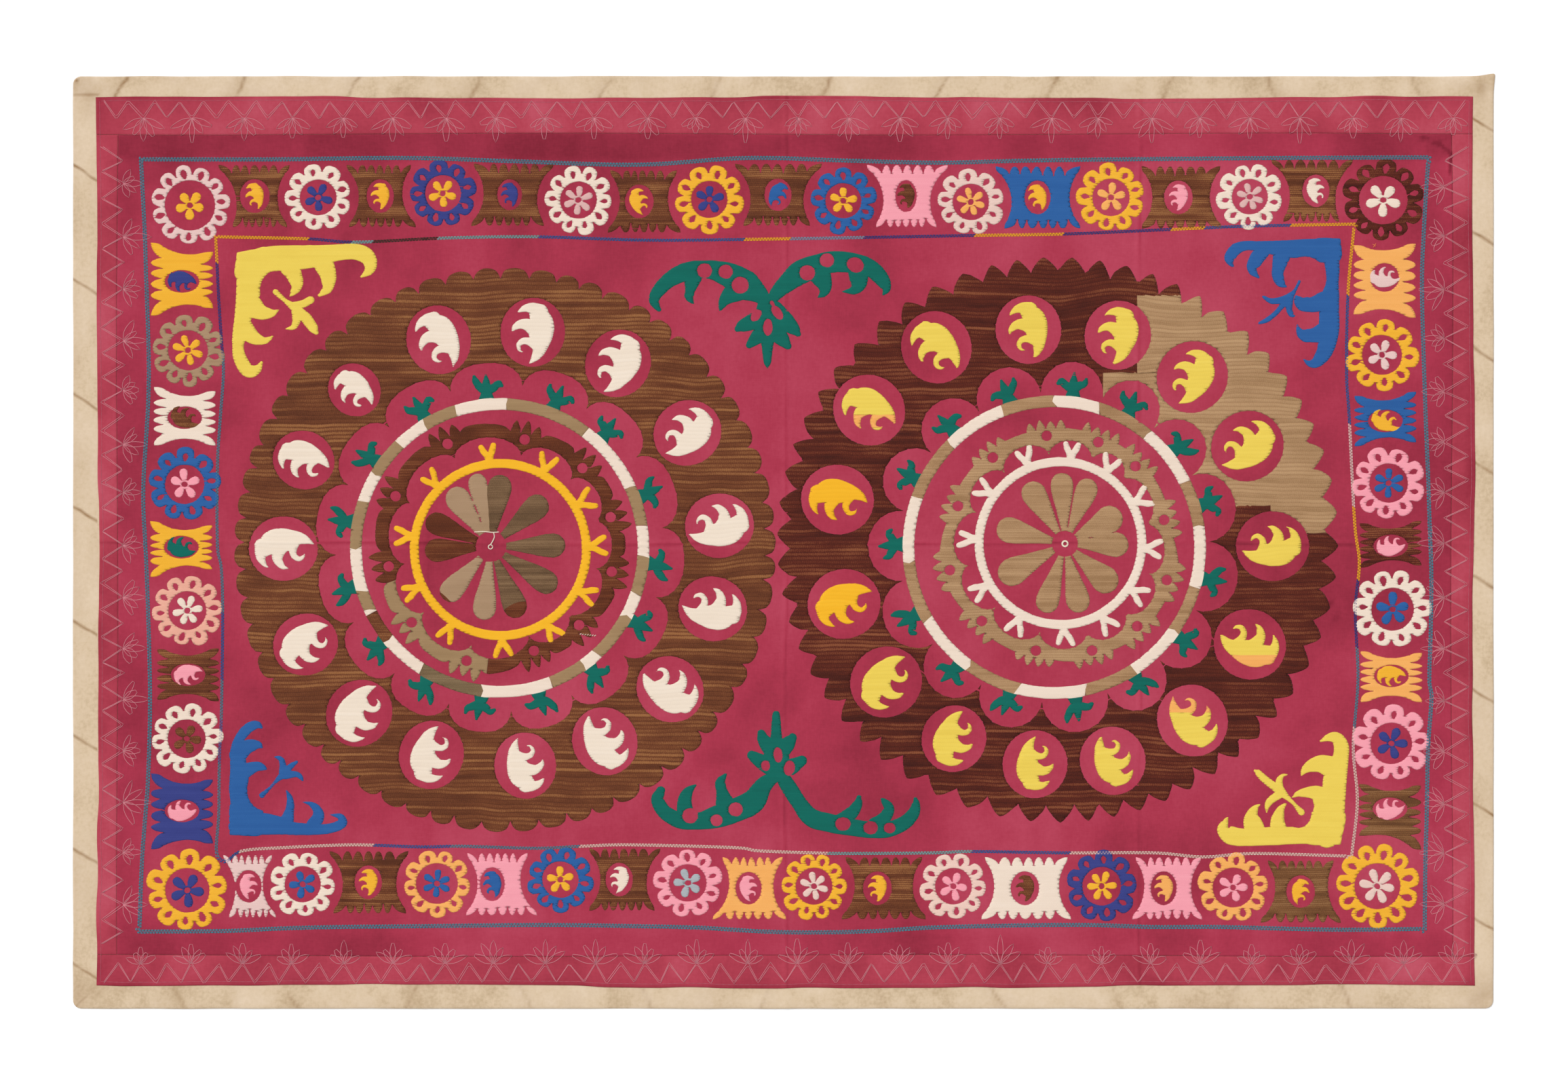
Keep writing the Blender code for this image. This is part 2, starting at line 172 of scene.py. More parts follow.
def smoothPath(points, perSpan=5):
    # open curve through the points; every column is carried along
    p = np.array(points, float)
    p = np.vstack([2 * p[0] - p[1], p, 2 * p[-1] - p[-2]])
    out = []
    for a, b, c, d in zip(p, p[1:], p[2:], p[3:]):
        t = np.arange(perSpan)[:, None] / perSpan
        out.append(0.5 * (2 * b + (c - a) * t + (2 * a - 5 * b + 4 * c - d) * t ** 2
                          + (3 * b - a - 3 * c + d) * t ** 3))
    out.append(p[-2][None])
    return np.concatenate(out)


def stroke(points, perSpan=5):
    # outline of a brush stroke: each point is x, y, width; wide ends are rounded
    path = smoothPath(points, perSpan)
    xy, half = path[:, :2], np.maximum(path[:, 2], 0.0) / 2
    way = np.gradient(xy, axis=0)
    way /= np.hypot(*way.T)[:, None]
    side = np.stack([-way[:, 1], way[:, 0]], 1)
    left, right = xy + side * half[:, None], xy - side * half[:, None]
    caps = []
    for end, sign in ((0, -1), (-1, 1)):
        turns = np.linspace(90, -90, 7)[1:-1] if half[end] > 1.2 else []
        cap = [xy[end] + half[end] * (sign * way[end] * math.cos(math.radians(t))
                                      + sign * side[end] * math.sin(math.radians(t))) for t in turns]
        caps.append(np.array(cap).reshape(-1, 2))
    return np.concatenate([left, caps[1], right[::-1], caps[0]])


def oval(centre, width, height, turn=0.0, count=26):
    # height lies along the direction turn
    a = np.linspace(0, 2 * math.pi, count, endpoint=False)
    out, side = height / 2 * np.cos(a), width / 2 * np.sin(a)
    c, s = math.cos(math.radians(turn)), math.sin(math.radians(turn))
    return np.stack([centre[0] + out * c - side * s, centre[1] + out * s + side * c], 1)


def placed(loop, centre, turn=0.0, sizeX=1.0, sizeY=None):
    # a drawn outline, scaled, turned by degrees and moved
    loop = np.asarray(loop, float)
    sizeY = sizeX if sizeY is None else sizeY
    c, s = math.cos(math.radians(turn)), math.sin(math.radians(turn))
    x, y = loop[:, 0] * sizeX, loop[:, 1] * sizeY
    return np.stack([centre[0] + x * c - y * s, centre[1] + x * s + y * c], 1)


def insideLoop(px, py, loop):
    # which points are inside a closed outline, by winding
    found = np.zeros(len(px), bool)
    low, high = loop.min(0), loop.max(0)
    near = np.nonzero((px >= low[0]) & (px <= high[0]) & (py >= low[1]) & (py <= high[1]))[0]
    if len(near) == 0:
        return found
    qx, qy = px[near], py[near]
    winding = np.zeros(len(near), int)
    for (ax, ay), (bx, by) in zip(loop, np.roll(loop, -1, axis=0)):
        if ay == by:
            continue
        turn = (bx - ax) * (qy - ay) - (qx - ax) * (by - ay)
        if by > ay:
            winding[(qy >= ay) & (qy < by) & (turn > 0)] += 1
        else:
            winding[(qy >= by) & (qy < ay) & (turn < 0)] -= 1
    found[near] = winding != 0
    return found


# Stitched fields
# A motif is a list of layers, painted in order: (kind, outline, yarn).
# "fill" stitches the area, "bare" leaves it open, "tint" changes the yarn where stitches are
# (or, with a fourth entry, only where that yarn is).

def paint(px, py, layers, yarns):
    state = np.full(len(px), -1)
    for kind, loop, yarn, *over in layers:
        inside = insideLoop(px, py, loop)
        if over:
            inside &= state == yarns.index(over[0])
        if kind == "fill":
            state[inside] = yarns.index(yarn)
        elif kind == "bare":
            state[inside] = -1
        else:
            state[inside & (state >= 0)] = yarns.index(yarn)
    return state


def roughened(loop, seed, size=0.35):
    # stitch ends don't meet the drawn line exactly
    back, ahead = np.roll(loop, 1, 0), np.roll(loop, -1, 0)
    way = ahead - back
    length = np.hypot(*way.T)
    length[length == 0] = 1
    side = np.stack([-way[:, 1], way[:, 0]], 1) / length[:, None]
    return loop + side * (size * softNoise(loop[:, 0], loop[:, 1], 3.2, seed))[:, None]


def triangles(points, edges, squeeze, mode):
    found = delaunay_2d_cdt([Vector((x, v * squeeze)) for x, v in points], edges, [], mode, 1e-7, True)
    verts = np.array([tuple(v) for v in found[0]])
    verts[:, 1] /= squeeze
    return verts, np.array(found[2], int), found[3]


def edgeTable(faces, state):
    # every edge with the paint on its two sides
    corners = np.concatenate([faces[:, [0, 1]], faces[:, [1, 2]], faces[:, [2, 0]]])
    paintOf = np.tile(state, 3)
    key = np.sort(corners, 1)
    order = np.lexsort((key[:, 1], key[:, 0]))
    key, paintOf, corners = key[order], paintOf[order], corners[order]
    same = np.all(key[1:] == key[:-1], 1)
    first = np.concatenate([[True], ~same])
    start = np.nonzero(first)[0]
    other = np.full(len(start), -1)
    double = np.zeros(len(start), bool)
    double[:] = np.concatenate([same, [False]])[start]
    other[double] = paintOf[start[double] + 1]
    return corners[start], paintOf[start], other, corners[np.minimum(start + 1, len(corners) - 1)]


def makePiece(name, verts, faces, materials, materialIndex=None, painted=None):
    # a smooth mesh, given in millimetres, that rides on the cloth; painted values belong to its points
    mesh = bpy.data.meshes.new(name)
    mesh.from_pydata(verts * mm, [], faces)
    for material in materials:
        mesh.materials.append(material)
    if materialIndex is not None:
        mesh.polygons.foreach_set("material_index", materialIndex.astype(np.int32))
    mesh.polygons.foreach_set("use_smooth", np.ones(len(faces), bool))
    for label, values in (painted or {}).items():
        mesh.attributes.new(label, "FLOAT", "POINT").data.foreach_set("value", values.astype(np.float32))
    mesh.update()
    piece = bpy.data.objects.new(name, mesh)
    bpy.context.scene.collection.objects.link(piece)
    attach(piece, "root")
    return piece


def stitchField(name, layers, yarns, look):
    # a raised field of stitch rows that fills the painted layers, closed underneath
    rowGap, step, height = look["rowGap"], look["step"], look["height"]
    half = rowGap / look.get("perRow", 2)
    squeeze = step / half
    wave, waveLength = look.get("wave", 1.2), look.get("waveLength", 130.0)
    fan = look.get("fan")
    seed = look.get("seed", 1)
    layers = [(row[0], roughened(row[1], seed + 5), *row[2:]) for row in layers]

    def bend(x, y):
        w = wave * softNoise(x, y, waveLength, seed) + 0.3 * wave * softNoise(x, y, waveLength / 3, seed + 1)
        if fan:
            fx, fy, reach, slope = fan
            w = w + slope * (x - fx) * np.exp(-((x - fx) ** 2 + (y - fy) ** 2) / reach ** 2)
        return w

    def toRows(x, y):
        return y - bend(x, y)

    def fromRows(x, v):
        y = v.copy()
        for _ in range(6):
            y = v + bend(x, y)
        return y

    # the outline of everything painted together
    points, edges = [], []
    for _, loop, *_ in layers:
        start = len(points)
        points += list(zip(loop[:, 0], toRows(loop[:, 0], loop[:, 1])))
        edges += [(start + i, start + (i + 1) % len(loop)) for i in range(len(loop))]
    verts, faces, _ = triangles(points, edges, squeeze, 0)
    vx, vy = verts[:, 0], fromRows(verts[:, 0], verts[:, 1])
    state = paint(vx[faces].mean(1), vy[faces].mean(1), layers, yarns)
    ends, one, other, _ = edgeTable(faces, state)
    shared = ends[one != other]
    rim = ends[(one != other) & ((one < 0) | (other < 0))]

    # distances to the bare cloth
    a, b = np.stack([vx, vy], 1)[rim[:, 0]], np.stack([vx, vy], 1)[rim[:, 1]]
    samples = []
    for p, q in zip(a, b):
        count = max(1, int(np.hypot(*(q - p)) / 0.9))
        samples += [p + (q - p) * i / count for i in range(count)]
    tree = kdtree.KDTree(len(samples))
    for i, p in enumerate(samples):
        tree.insert((p[0], p[1], 0), i)
    tree.balance()

    def gapTo(x, y):
        return np.array([tree.find((px, py, 0))[2] for px, py in zip(x, y)])

    # points inside: a line just inside the rim, then the rows
    middle, way = (a + b) / 2, b - a
    way /= np.maximum(np.hypot(*way.T), 1e-6)[:, None]
    side = np.stack([-way[:, 1], way[:, 0]], 1)
    roll = look.get("roll", 1.3)
    inner = np.concatenate([middle + side * roll, middle - side * roll])
    inner = inner[gapTo(inner[:, 0], inner[:, 1]) > 0.86 * roll]
    low, high = np.array(points).min(0), np.array(points).max(0)
    rows = np.arange(math.floor(low[1] / half), math.ceil(high[1] / half) + 1)
    columns = np.arange(math.floor(low[0] / step), math.ceil(high[0] / step) + 1)
    gridX, gridRow = np.meshgrid(columns * step, rows)
    gridX = (gridX + (gridRow % 2) * step / 2
             + step * 0.25 * softNoise(gridX, gridRow * 9.0, 7.0, seed + 2)).ravel()
    gridV = gridRow.ravel() * half
    gridY = fromRows(gridX, gridV)
    keep = paint(gridX, gridY, layers, yarns) >= 0
    gridX, gridY, gridV = gridX[keep], gridY[keep], gridV[keep]
    keep = gapTo(gridX, gridY) > 1.55 * roll
    gridX, gridY, gridV = gridX[keep], gridY[keep], gridV[keep]
    keep = paint(inner[:, 0], inner[:, 1], layers, yarns) >= 0
    inner = inner[keep]

    used = np.unique(shared)
    place = {int(v): i for i, v in enumerate(used)}
    outline = [(verts[v, 0], verts[v, 1]) for v in used]
    links = [(place[int(i)], place[int(j)]) for i, j in shared]
    body = outline + list(zip(inner[:, 0], toRows(inner[:, 0], inner[:, 1]))) + list(zip(gridX, gridV))
    top, topFaces, _ = triangles(body, links, squeeze, 0)
    tx, ty = top[:, 0], fromRows(top[:, 0], top[:, 1])
    topState = paint(tx[topFaces].mean(1), ty[topFaces].mean(1), layers, yarns)
    topFaces, topState = topFaces[topState >= 0], topState[topState >= 0]

    # underside: the same rim with a coarse middle
    ends, one, other, _ = edgeTable(topFaces, np.zeros(len(topFaces), int))
    border = ends[other < 0]
    borderVerts = np.unique(border)
    borderPlace = {int(v): i for i, v in enumerate(borderVerts)}
    coarse = look.get("underStep", 14.0)
    cx, cy = np.meshgrid(np.arange(low[0], high[0], coarse), np.arange(low[1], high[1], coarse))
    cx, cy = cx.ravel(), fromRows(cx.ravel(), cy.ravel())
    keep = paint(cx, cy, layers, yarns) >= 0
    cx, cy = cx[keep], cy[keep]
    if len(cx):
        keep = gapTo(cx, cy) > 3.0
        cx, cy = cx[keep], cy[keep]
    # a point halfway along each edge that spans from rim to rim keeps the underside off that edge
    spans = ends[(other >= 0) & np.isin(ends, borderVerts).all(1)]
    halfway = [tuple(p) for p in (top[spans[:, 0]] + top[spans[:, 1]]) / 2]
    under = [(top[v, 0], top[v, 1]) for v in borderVerts] + list(zip(cx, toRows(cx, cy))) + halfway
    links = [(borderPlace[int(i)], borderPlace[int(j)]) for i, j in border]
    low2, lowFaces, lowIds = triangles(under, links, squeeze, 0)
    lx, ly = low2[:, 0], fromRows(low2[:, 0], low2[:, 1])
    keep = paint(lx[lowFaces].mean(1), ly[lowFaces].mean(1), layers, yarns) >= 0
    lowFaces = lowFaces[keep]
    lowToAll = np.full(len(low2), -1)
    extra = []
    for i, ids in enumerate(lowIds):
        home = [v for v in ids if v < len(borderVerts)]
        if home:
            lowToAll[i] = borderVerts[home[0]]
        else:
            lowToAll[i] = len(top) + len(extra)
            extra.append(i)

    # where the rim comes together the top and the underside have the same triangle, so both go
    lower = lowToAll[lowFaces][:, ::-1]
    upperSet, lowerSet = ([tuple(sorted(face)) for face in faces.tolist()] for faces in (topFaces, lower))
    both = set(upperSet) & set(lowerSet)
    keep = np.array([face not in both for face in upperSet])
    topFaces, topState = topFaces[keep], topState[keep]
    lower = lower[np.array([face not in both for face in lowerSet])]

    # heights, each row's own shade of yarn, and painted shade in the grooves between rows
    gap = gapTo(tx, ty)
    onRim = np.zeros(len(top), bool)
    onRim[borderVerts] = True
    share = np.clip(gap / (1.9 * roll), 0, 1)
    dome = np.sqrt(1 - (1 - share) ** 2)
    even = np.ones(len(top))
    for s in set(topState.tolist()):
        if yarns[s] in yarnLook["streaky"]:
            even[topFaces[topState == s]] = 0
    row = np.round(top[:, 1] / rowGap).astype(int)
    ridge = np.cos(2 * math.pi * top[:, 1] / rowGap)
    rowNoise = np.random.default_rng(seed + 9).uniform(-1, 1, 4096)[row % 4096]
    lift = np.where(onRim, -0.16,
                    dome * (height + look["ridge"] * (1 - 0.65 * even) * ridge + 0.05 * rowNoise))
    lift = lift + np.where(onRim, 0, 0.05 * softNoise(tx, ty, 4.0, seed + 3))
    streakAndShade = (0.5 + look["rowShade"] * rowNoise
              + look["longShade"] * softNoise(tx + 517 * rowNoise, row * 53.0, 105.0, seed)
              + look["bandShade"] * softNoise(tx * 0.22, top[:, 1], 8.5, seed + 4)
              + 0.5 * look["longShade"] * softNoise(tx * 0.5, ty, 60.0, seed + 6))
    # painted shade in the grooves between rows
    streakAndShade += np.where(ridge < 0, look.get("grooveShade", -0.10), 0) * dome
    streakAndShade = np.clip(streakAndShade, 0, 1)

    allX = np.concatenate([tx, lx[extra]])
    allY = np.concatenate([ty, ly[extra]])
    allZ = groundTop(allX, allY) + np.concatenate([lift, np.full(len(extra), -0.45)])
    usedVerts, allFaces = np.unique(np.concatenate([topFaces, lower]), return_inverse=True)
    allFaces = allFaces.reshape(-1, 3)
    order = sorted(set(int(s) for s in topState))
    lookup = np.zeros(len(yarns), int)
    lookup[order] = np.arange(len(order))
    rowPlace = np.concatenate([top[:, 1], low2[extra][:, 1]]) / rowGap + 1000
    streakAndShade = np.concatenate([streakAndShade, np.full(len(extra), 0.5)])
    piece = makePiece(name, np.stack([allX, allY, allZ], 1)[usedVerts], allFaces.tolist(),
                      [yarnMaterials[yarns[s]] for s in order],
                      np.concatenate([lookup[topState], np.zeros(len(lower), int)]),
                      {"streakAndShade": streakAndShade[usedVerts], "rowPlace": rowPlace[usedVerts]})
    print("stitched", name, len(allFaces), "triangles")
    return piece


# Materials

def addNode(tree, kind, sockets=None, **settings):
    node = tree.nodes.new(kind)
    for key, value in settings.items():
        setattr(node, key, value)
    for key, value in (sockets or {}).items():
        if isinstance(value, bpy.types.NodeSocket):
            tree.links.new(value, node.inputs[key])
        else:
            node.inputs[key].default_value = value
    return node


def maths(tree, operation, a, b):
    return addNode(tree, "ShaderNodeMath", {0: a, 1: b}, operation=operation).outputs[0]


def noiseAt(tree, place, scale, stretch=(1, 1, 1), detail=3.0):
    mapped = addNode(tree, "ShaderNodeMapping", {"Vector": place, "Scale": stretch})
    return addNode(tree, "ShaderNodeTexNoise",
                   {"Vector": mapped.outputs[0], "Scale": scale, "Detail": detail}).outputs[0]


def colourRamp(tree, factor, stops):
    ramp = addNode(tree, "ShaderNodeValToRGB", {"Fac": factor})
    ramp.color_ramp.elements[0].position, ramp.color_ramp.elements[0].color = stops[0]
    ramp.color_ramp.elements[1].position, ramp.color_ramp.elements[1].color = stops[-1]
    for position, colour in stops[1:-1]:
        ramp.color_ramp.elements.new(position).color = colour
    return ramp.outputs["Color"]


def shaded(colour, factor):
    return (colour[0] * factor, colour[1] * factor, colour[2] * factor, 1.0)


def painted(tree, name):
    # a value that is painted on the points of the mesh
    return addNode(tree, "ShaderNodeAttribute", attribute_name=name).outputs["Fac"]


def addAround(tree, mixed, part, amount):
    # adds a noise that is centred on a half
    return maths(tree, "ADD", mixed, maths(tree, "MULTIPLY", maths(tree, "SUBTRACT", part, 0.5), amount))


def startMaterial(name):
    material = bpy.data.materials.new(name)
    material.use_nodes = True
    tree = material.node_tree
    place = addNode(tree, "ShaderNodeTexCoord").outputs["Object"]
    return material, tree, tree.nodes["Principled BSDF"], place


def setShader(tree, shader, colour, bump, finish):
    # finish: roughness, specular level, sheen and sheen roughness, each on its own socket
    tree.links.new(colour, shader.inputs["Base Color"])
    tree.links.new(bump.outputs[0], shader.inputs["Normal"])
    for socket, value in zip(("Roughness", "Specular IOR Level", "Sheen Weight", "Sheen Roughness"), finish):
        shader.inputs[socket].default_value = value


yarnLook = {
    "finish": (0.7, 0.16, 0.05, 0.45),   # roughness, specular level, sheen, sheen roughness
    "fibreBump": 0.45, "fibreSize": 950.0,
    # chain link length, its painted shading, painted shade line between rows
    "link": 3.2, "linkShade": 0.07, "rowLine": 0.36,
    "plainShare": 0.34,   # how much of its shading an even yarn keeps
    "streaky": ("brown", "darkBrown", "oliveBrown", "ringBrown", "khakiDark", "tan", "ringKhaki"),
    # name: dark, middle and light shade of the yarn
    "shades": {
        "brown": ((82, 40, 20), (110, 60, 33), (150, 99, 58)),
        "darkBrown": ((62, 19, 11), (90, 33, 19), (134, 76, 47)),
        "oliveBrown": ((92, 56, 30), (122, 80, 46), (150, 108, 70)),
        "tan": ((150, 114, 78), (170, 133, 96), (184, 147, 108)),
        "ringBrown": ((78, 34, 14), (104, 51, 26), (127, 75, 44)),
        "khakiDark": ((88, 64, 42), (112, 84, 58), (136, 106, 76)),
        "khakiLight": ((142, 114, 84), (165, 134, 104), (180, 151, 120)),
        "ringTan": ((136, 108, 74), (156, 126, 90), (170, 140, 102)),
        "ringKhaki": ((104, 84, 58), (122, 100, 72), (140, 116, 86)),
        "cream": ((222, 203, 182), (235, 218, 199), (242, 228, 212)),
        "white": ((220, 199, 180), (234, 214, 196), (241, 225, 210)),
        "pinkishWhite": ((214, 182, 170), (228, 196, 184), (236, 208, 198)),
        "lemon": ((216, 184, 70), (232, 202, 84), (240, 214, 100)),
        "golden": ((228, 164, 24), (241, 178, 34), (246, 190, 50)),
        "yellow": ((226, 160, 38), (237, 174, 47), (243, 188, 64)),
        "lightOrange": ((226, 155, 74), (240, 170, 92), (244, 182, 106)),
        "green": ((0, 80, 70), (0, 100, 88), (10, 112, 98)),
        "blue": ((30, 76, 138), (40, 92, 155), (56, 106, 166)),
        "darkBlue": ((42, 48, 112), (53, 61, 128), (70, 78, 146)),
        "pink": ((230, 140, 156), (241, 156, 169), (246, 170, 180)),
        "palePink": ((220, 182, 168), (232, 197, 183), (240, 210, 198)),
        "salmon": ((218, 152, 130), (230, 168, 147), (236, 182, 162)),
        "lilac": ((214, 178, 172), (227, 193, 187), (235, 206, 200)),
        "pinkLilac": ((202, 158, 154), (216, 173, 168), (226, 186, 182)),
        "greyBlue": ((150, 156, 162), (167, 173, 177), (182, 186, 190)),
        "steelBlue": ((110, 130, 156), (128, 148, 172), (144, 162, 184)),
        "teal": ((58, 108, 126), (80, 130, 150), (104, 150, 168)),
        "lightTeal": ((96, 150, 152), (116, 168, 168), (136, 184, 182)),
        "nearBlack": ((40, 34, 26), (54, 46, 34), (70, 60, 46)),
        "violet": ((84, 84, 136), (100, 98, 150), (118, 116, 166)),
    },
}
clothLook = {
    "threadPitch": 0.85, "finish": (0.86, 0.25, 0.05, 0.5), "weaveBump": 0.35,
    "ground": ((126, 24, 46), (169, 47, 72), (190, 72, 96)),
    "edging": ((144, 34, 54), (178, 60, 79), (198, 90, 108)),
    "backing": ((186, 160, 126), (217, 193, 162), (228, 206, 180)),
    "stain": (146, 108, 66),
    "sideMarks": {"from": 1028.0, "gap": 171.0, "width": 4.5, "lean": 0.6, "drift": 16.0, "shift": 20.0,
                  "strength": 1.3},
}
light = {"level": 1.06}   # cloth colours are divided by this


def yarnMaterial(name, shades):
    streaky = name in yarnLook["streaky"]
    material, tree, shader, place = startMaterial("yarn_" + name)
    # the painted value holds the yarn's streaks together with painted shade in the row grooves and painted
    # highlight and shade on chain strands
    streakAndShade = painted(tree, "streakAndShade")
    fibre = noiseAt(tree, place, yarnLook["fibreSize"], (0.45, 1.0, 1.0), 4.0)
    patch = noiseAt(tree, place, 26.0, (1.0, 2.2, 1.0), 3.0)
    # rows of chain: "rowPlace" counts the rows, so its fraction is the place across one row
    rowPlace = painted(tree, "rowPlace")
    shifted = maths(tree, "ADD", rowPlace, 0.5)
    across = maths(tree, "ABSOLUTE", maths(tree, "SUBTRACT", maths(tree, "FRACT", shifted, 0.0), 0.5), 0.0)
    edgeLine = maths(tree, "POWER", maths(tree, "MULTIPLY", across, 2.0), 5.0)
    alongX = addNode(tree, "ShaderNodeSeparateXYZ", {0: place}).outputs[0]
    links = maths(tree, "MULTIPLY", alongX, 2 * math.pi / (yarnLook["link"] * mm))
    links = maths(tree, "ADD", links, maths(tree, "MULTIPLY", maths(tree, "FLOOR", shifted, 0.0), 2.3))
    chain = maths(tree, "SINE", maths(tree, "ADD", links, maths(tree, "MULTIPLY", across, 5.0)), 0.0)
    middleOfRow = maths(tree, "SUBTRACT", 1.35, maths(tree, "MULTIPLY", across, 1.8))
    mixed = maths(tree, "MULTIPLY", maths(tree, "SUBTRACT", streakAndShade, 0.5), middleOfRow)
    mixed = maths(tree, "ADD", mixed, 0.52)
    mixed = addAround(tree, mixed, fibre, 0.8 if streaky else 0.5)
    mixed = addAround(tree, mixed, patch, 0.4)
    rowLine = yarnLook["rowLine"] * (1 if streaky else 0.5)
    # painted shade along the edges of each row, then painted shading of the chain links
    mixed = maths(tree, "SUBTRACT", mixed, maths(tree, "MULTIPLY", edgeLine, rowLine))
    mixed = maths(tree, "ADD", mixed, maths(tree, "MULTIPLY", chain, yarnLook["linkShade"]))
    relief = maths(tree, "ADD", fibre, maths(tree, "MULTIPLY", chain, 0.35))
    relief = maths(tree, "SUBTRACT", relief, edgeLine)
    keep = 1.0 if streaky else yarnLook["plainShare"]
    dark, middle, pale = (shaded(linear(*[m + (c - m) * keep for c, m in zip(shade, shades[1])]),
                                 1 / light["level"])
                          for shade in shades)
    colour = colourRamp(tree, mixed, [(0.08, dark), (0.5, middle), (0.92, pale)])
    bump = addNode(tree, "ShaderNodeBump", {"Strength": yarnLook["fibreBump"] * (1 if streaky else 0.6),
                                            "Distance": 0.0004, "Height": relief})
    setShader(tree, shader, colour, bump, yarnLook["finish"])
    material.diffuse_color = middle
    return material


def sideMarks(tree, place):
    # thin slanting creases, evenly spaced up the two short sides
    look = clothLook["sideMarks"]
    x, y, _ = addNode(tree, "ShaderNodeSeparateXYZ", {0: place}).outputs
    out = maths(tree, "ABSOLUTE", x, 0.0)
    drift = maths(tree, "MULTIPLY", noiseAt(tree, place, 16.0, detail=2.0), look["drift"] * mm)
    along = maths(tree, "ADD", maths(tree, "ADD", y, maths(tree, "MULTIPLY", x, look["lean"])), drift)
    along = maths(tree, "ADD", along,
                  maths(tree, "MULTIPLY", maths(tree, "SIGN", x, 0.0), look["shift"] * mm))
    turns = maths(tree, "FRACT", maths(tree, "DIVIDE", along, look["gap"] * mm), 0.0)
    away = maths(tree, "MULTIPLY", maths(tree, "ABSOLUTE", maths(tree, "SUBTRACT", turns, 0.5), 0.0),
                 look["gap"] / look["width"])
    line = maths(tree, "MAXIMUM", maths(tree, "SUBTRACT", 1.0, away), 0.0)
    there = maths(tree, "MULTIPLY", maths(tree, "GREATER_THAN", out, look["from"] * mm), look["strength"])
    return maths(tree, "MULTIPLY", maths(tree, "MULTIPLY", line, there), noiseAt(tree, place, 40.0))


def cottonMaterial(name, shades, grain, marked=False):
    # plain weave with slubs; the cloth's tone with its painted crease shade, and the stain, are painted on
    # the mesh
    material, tree, shader, place = startMaterial(name)
    axes = addNode(tree, "ShaderNodeSeparateXYZ", {0: place})
    turns = 2 * math.pi / (clothLook["threadPitch"] * mm)
    warp = maths(tree, "SINE", maths(tree, "MULTIPLY", axes.outputs[0], turns), 0.0)
    weft = maths(tree, "SINE", maths(tree, "MULTIPLY", axes.outputs[1], turns), 0.0)
    weave = maths(tree, "MULTIPLY", warp, weft)
    slubX = noiseAt(tree, place, 60.0, (1.0, 26.0, 1.0), 3.0)
    slubY = noiseAt(tree, place, 60.0, (26.0, 1.0, 1.0), 3.0)
    cloud = noiseAt(tree, place, 6.0, detail=5.0)
    speckle = noiseAt(tree, place, 190.0, detail=4.0)
    fadeAndShade = painted(tree, "fadeAndShade")
    mixed = fadeAndShade
    for part, amount in ((slubX, 0.22), (slubY, 0.22), (cloud, 0.35), (speckle, grain)):
        mixed = addAround(tree, mixed, part, amount)
    mixed = maths(tree, "ADD", mixed, maths(tree, "MULTIPLY", weave, 0.03))
    dark, middle, pale = (shaded(linear(*c), 1 / light["level"]) for c in shades)
    colour = colourRamp(tree, mixed, [(0.0, dark), (0.5, middle), (1.0, pale)])
    stain = painted(tree, "stain")
    if marked:
        stain = maths(tree, "ADD", stain, sideMarks(tree, place))
    stained = mixColour(tree, stain, colour, shaded(linear(*clothLook["stain"]), 1 / light["level"]))
    relief = maths(tree, "ADD", weave, maths(tree, "MULTIPLY", maths(tree, "ADD", slubX, slubY), 1.2))
    bump = addNode(tree, "ShaderNodeBump",
                   {"Strength": clothLook["weaveBump"], "Distance": 0.00016, "Height": relief})
    setShader(tree, shader, stained, bump, clothLook["finish"])
    material.diffuse_color = middle
    return material


def mixColour(tree, factor, a, b):
    node = addNode(tree, "ShaderNodeMix", data_type="RGBA")
    for socket, value in ((node.inputs["Factor"], factor), (node.inputs[6], a), (node.inputs[7], b)):
        if isinstance(value, bpy.types.NodeSocket):
            tree.links.new(value, socket)
        else:
            socket.default_value = value
    return node.outputs[2]


def threadMaterial(name, colour):
    # machine thread and loose yarn ends
    material, tree, shader, place = startMaterial(name)
    twist = noiseAt(tree, place, 1400.0)
    wearAndCreaseShade = noiseAt(tree, place, 30.0)
    base = linear(*colour)
    mixed = maths(tree, "ADD", maths(tree, "MULTIPLY", twist, 0.5), maths(tree, "MULTIPLY", wearAndCreaseShade, 0.5))
    colour = colourRamp(tree, mixed, [(0.3, shaded(base, 0.72)), (0.5, base), (0.72, shaded(base, 1.22))])
    bump = addNode(tree, "ShaderNodeBump", {"Strength": 0.4, "Distance": 0.0002, "Height": twist})
    setShader(tree, shader, colour, bump, (0.55, 0.5, 0.2, 0.5))
    material.diffuse_color = base
    return material


yarnMaterials = {name: yarnMaterial(name, shades) for name, shades in yarnLook["shades"].items()}
groundCotton = cottonMaterial("ground_cotton_weave", clothLook["ground"], 0.25)
edgingCotton = cottonMaterial("edging_cotton_weave", clothLook["edging"], 0.3)
backingCotton = cottonMaterial("backing_cotton_weave", clothLook["backing"], 0.8, marked=True)
print("materials ready:", len(bpy.data.materials))


# Cloth sheets

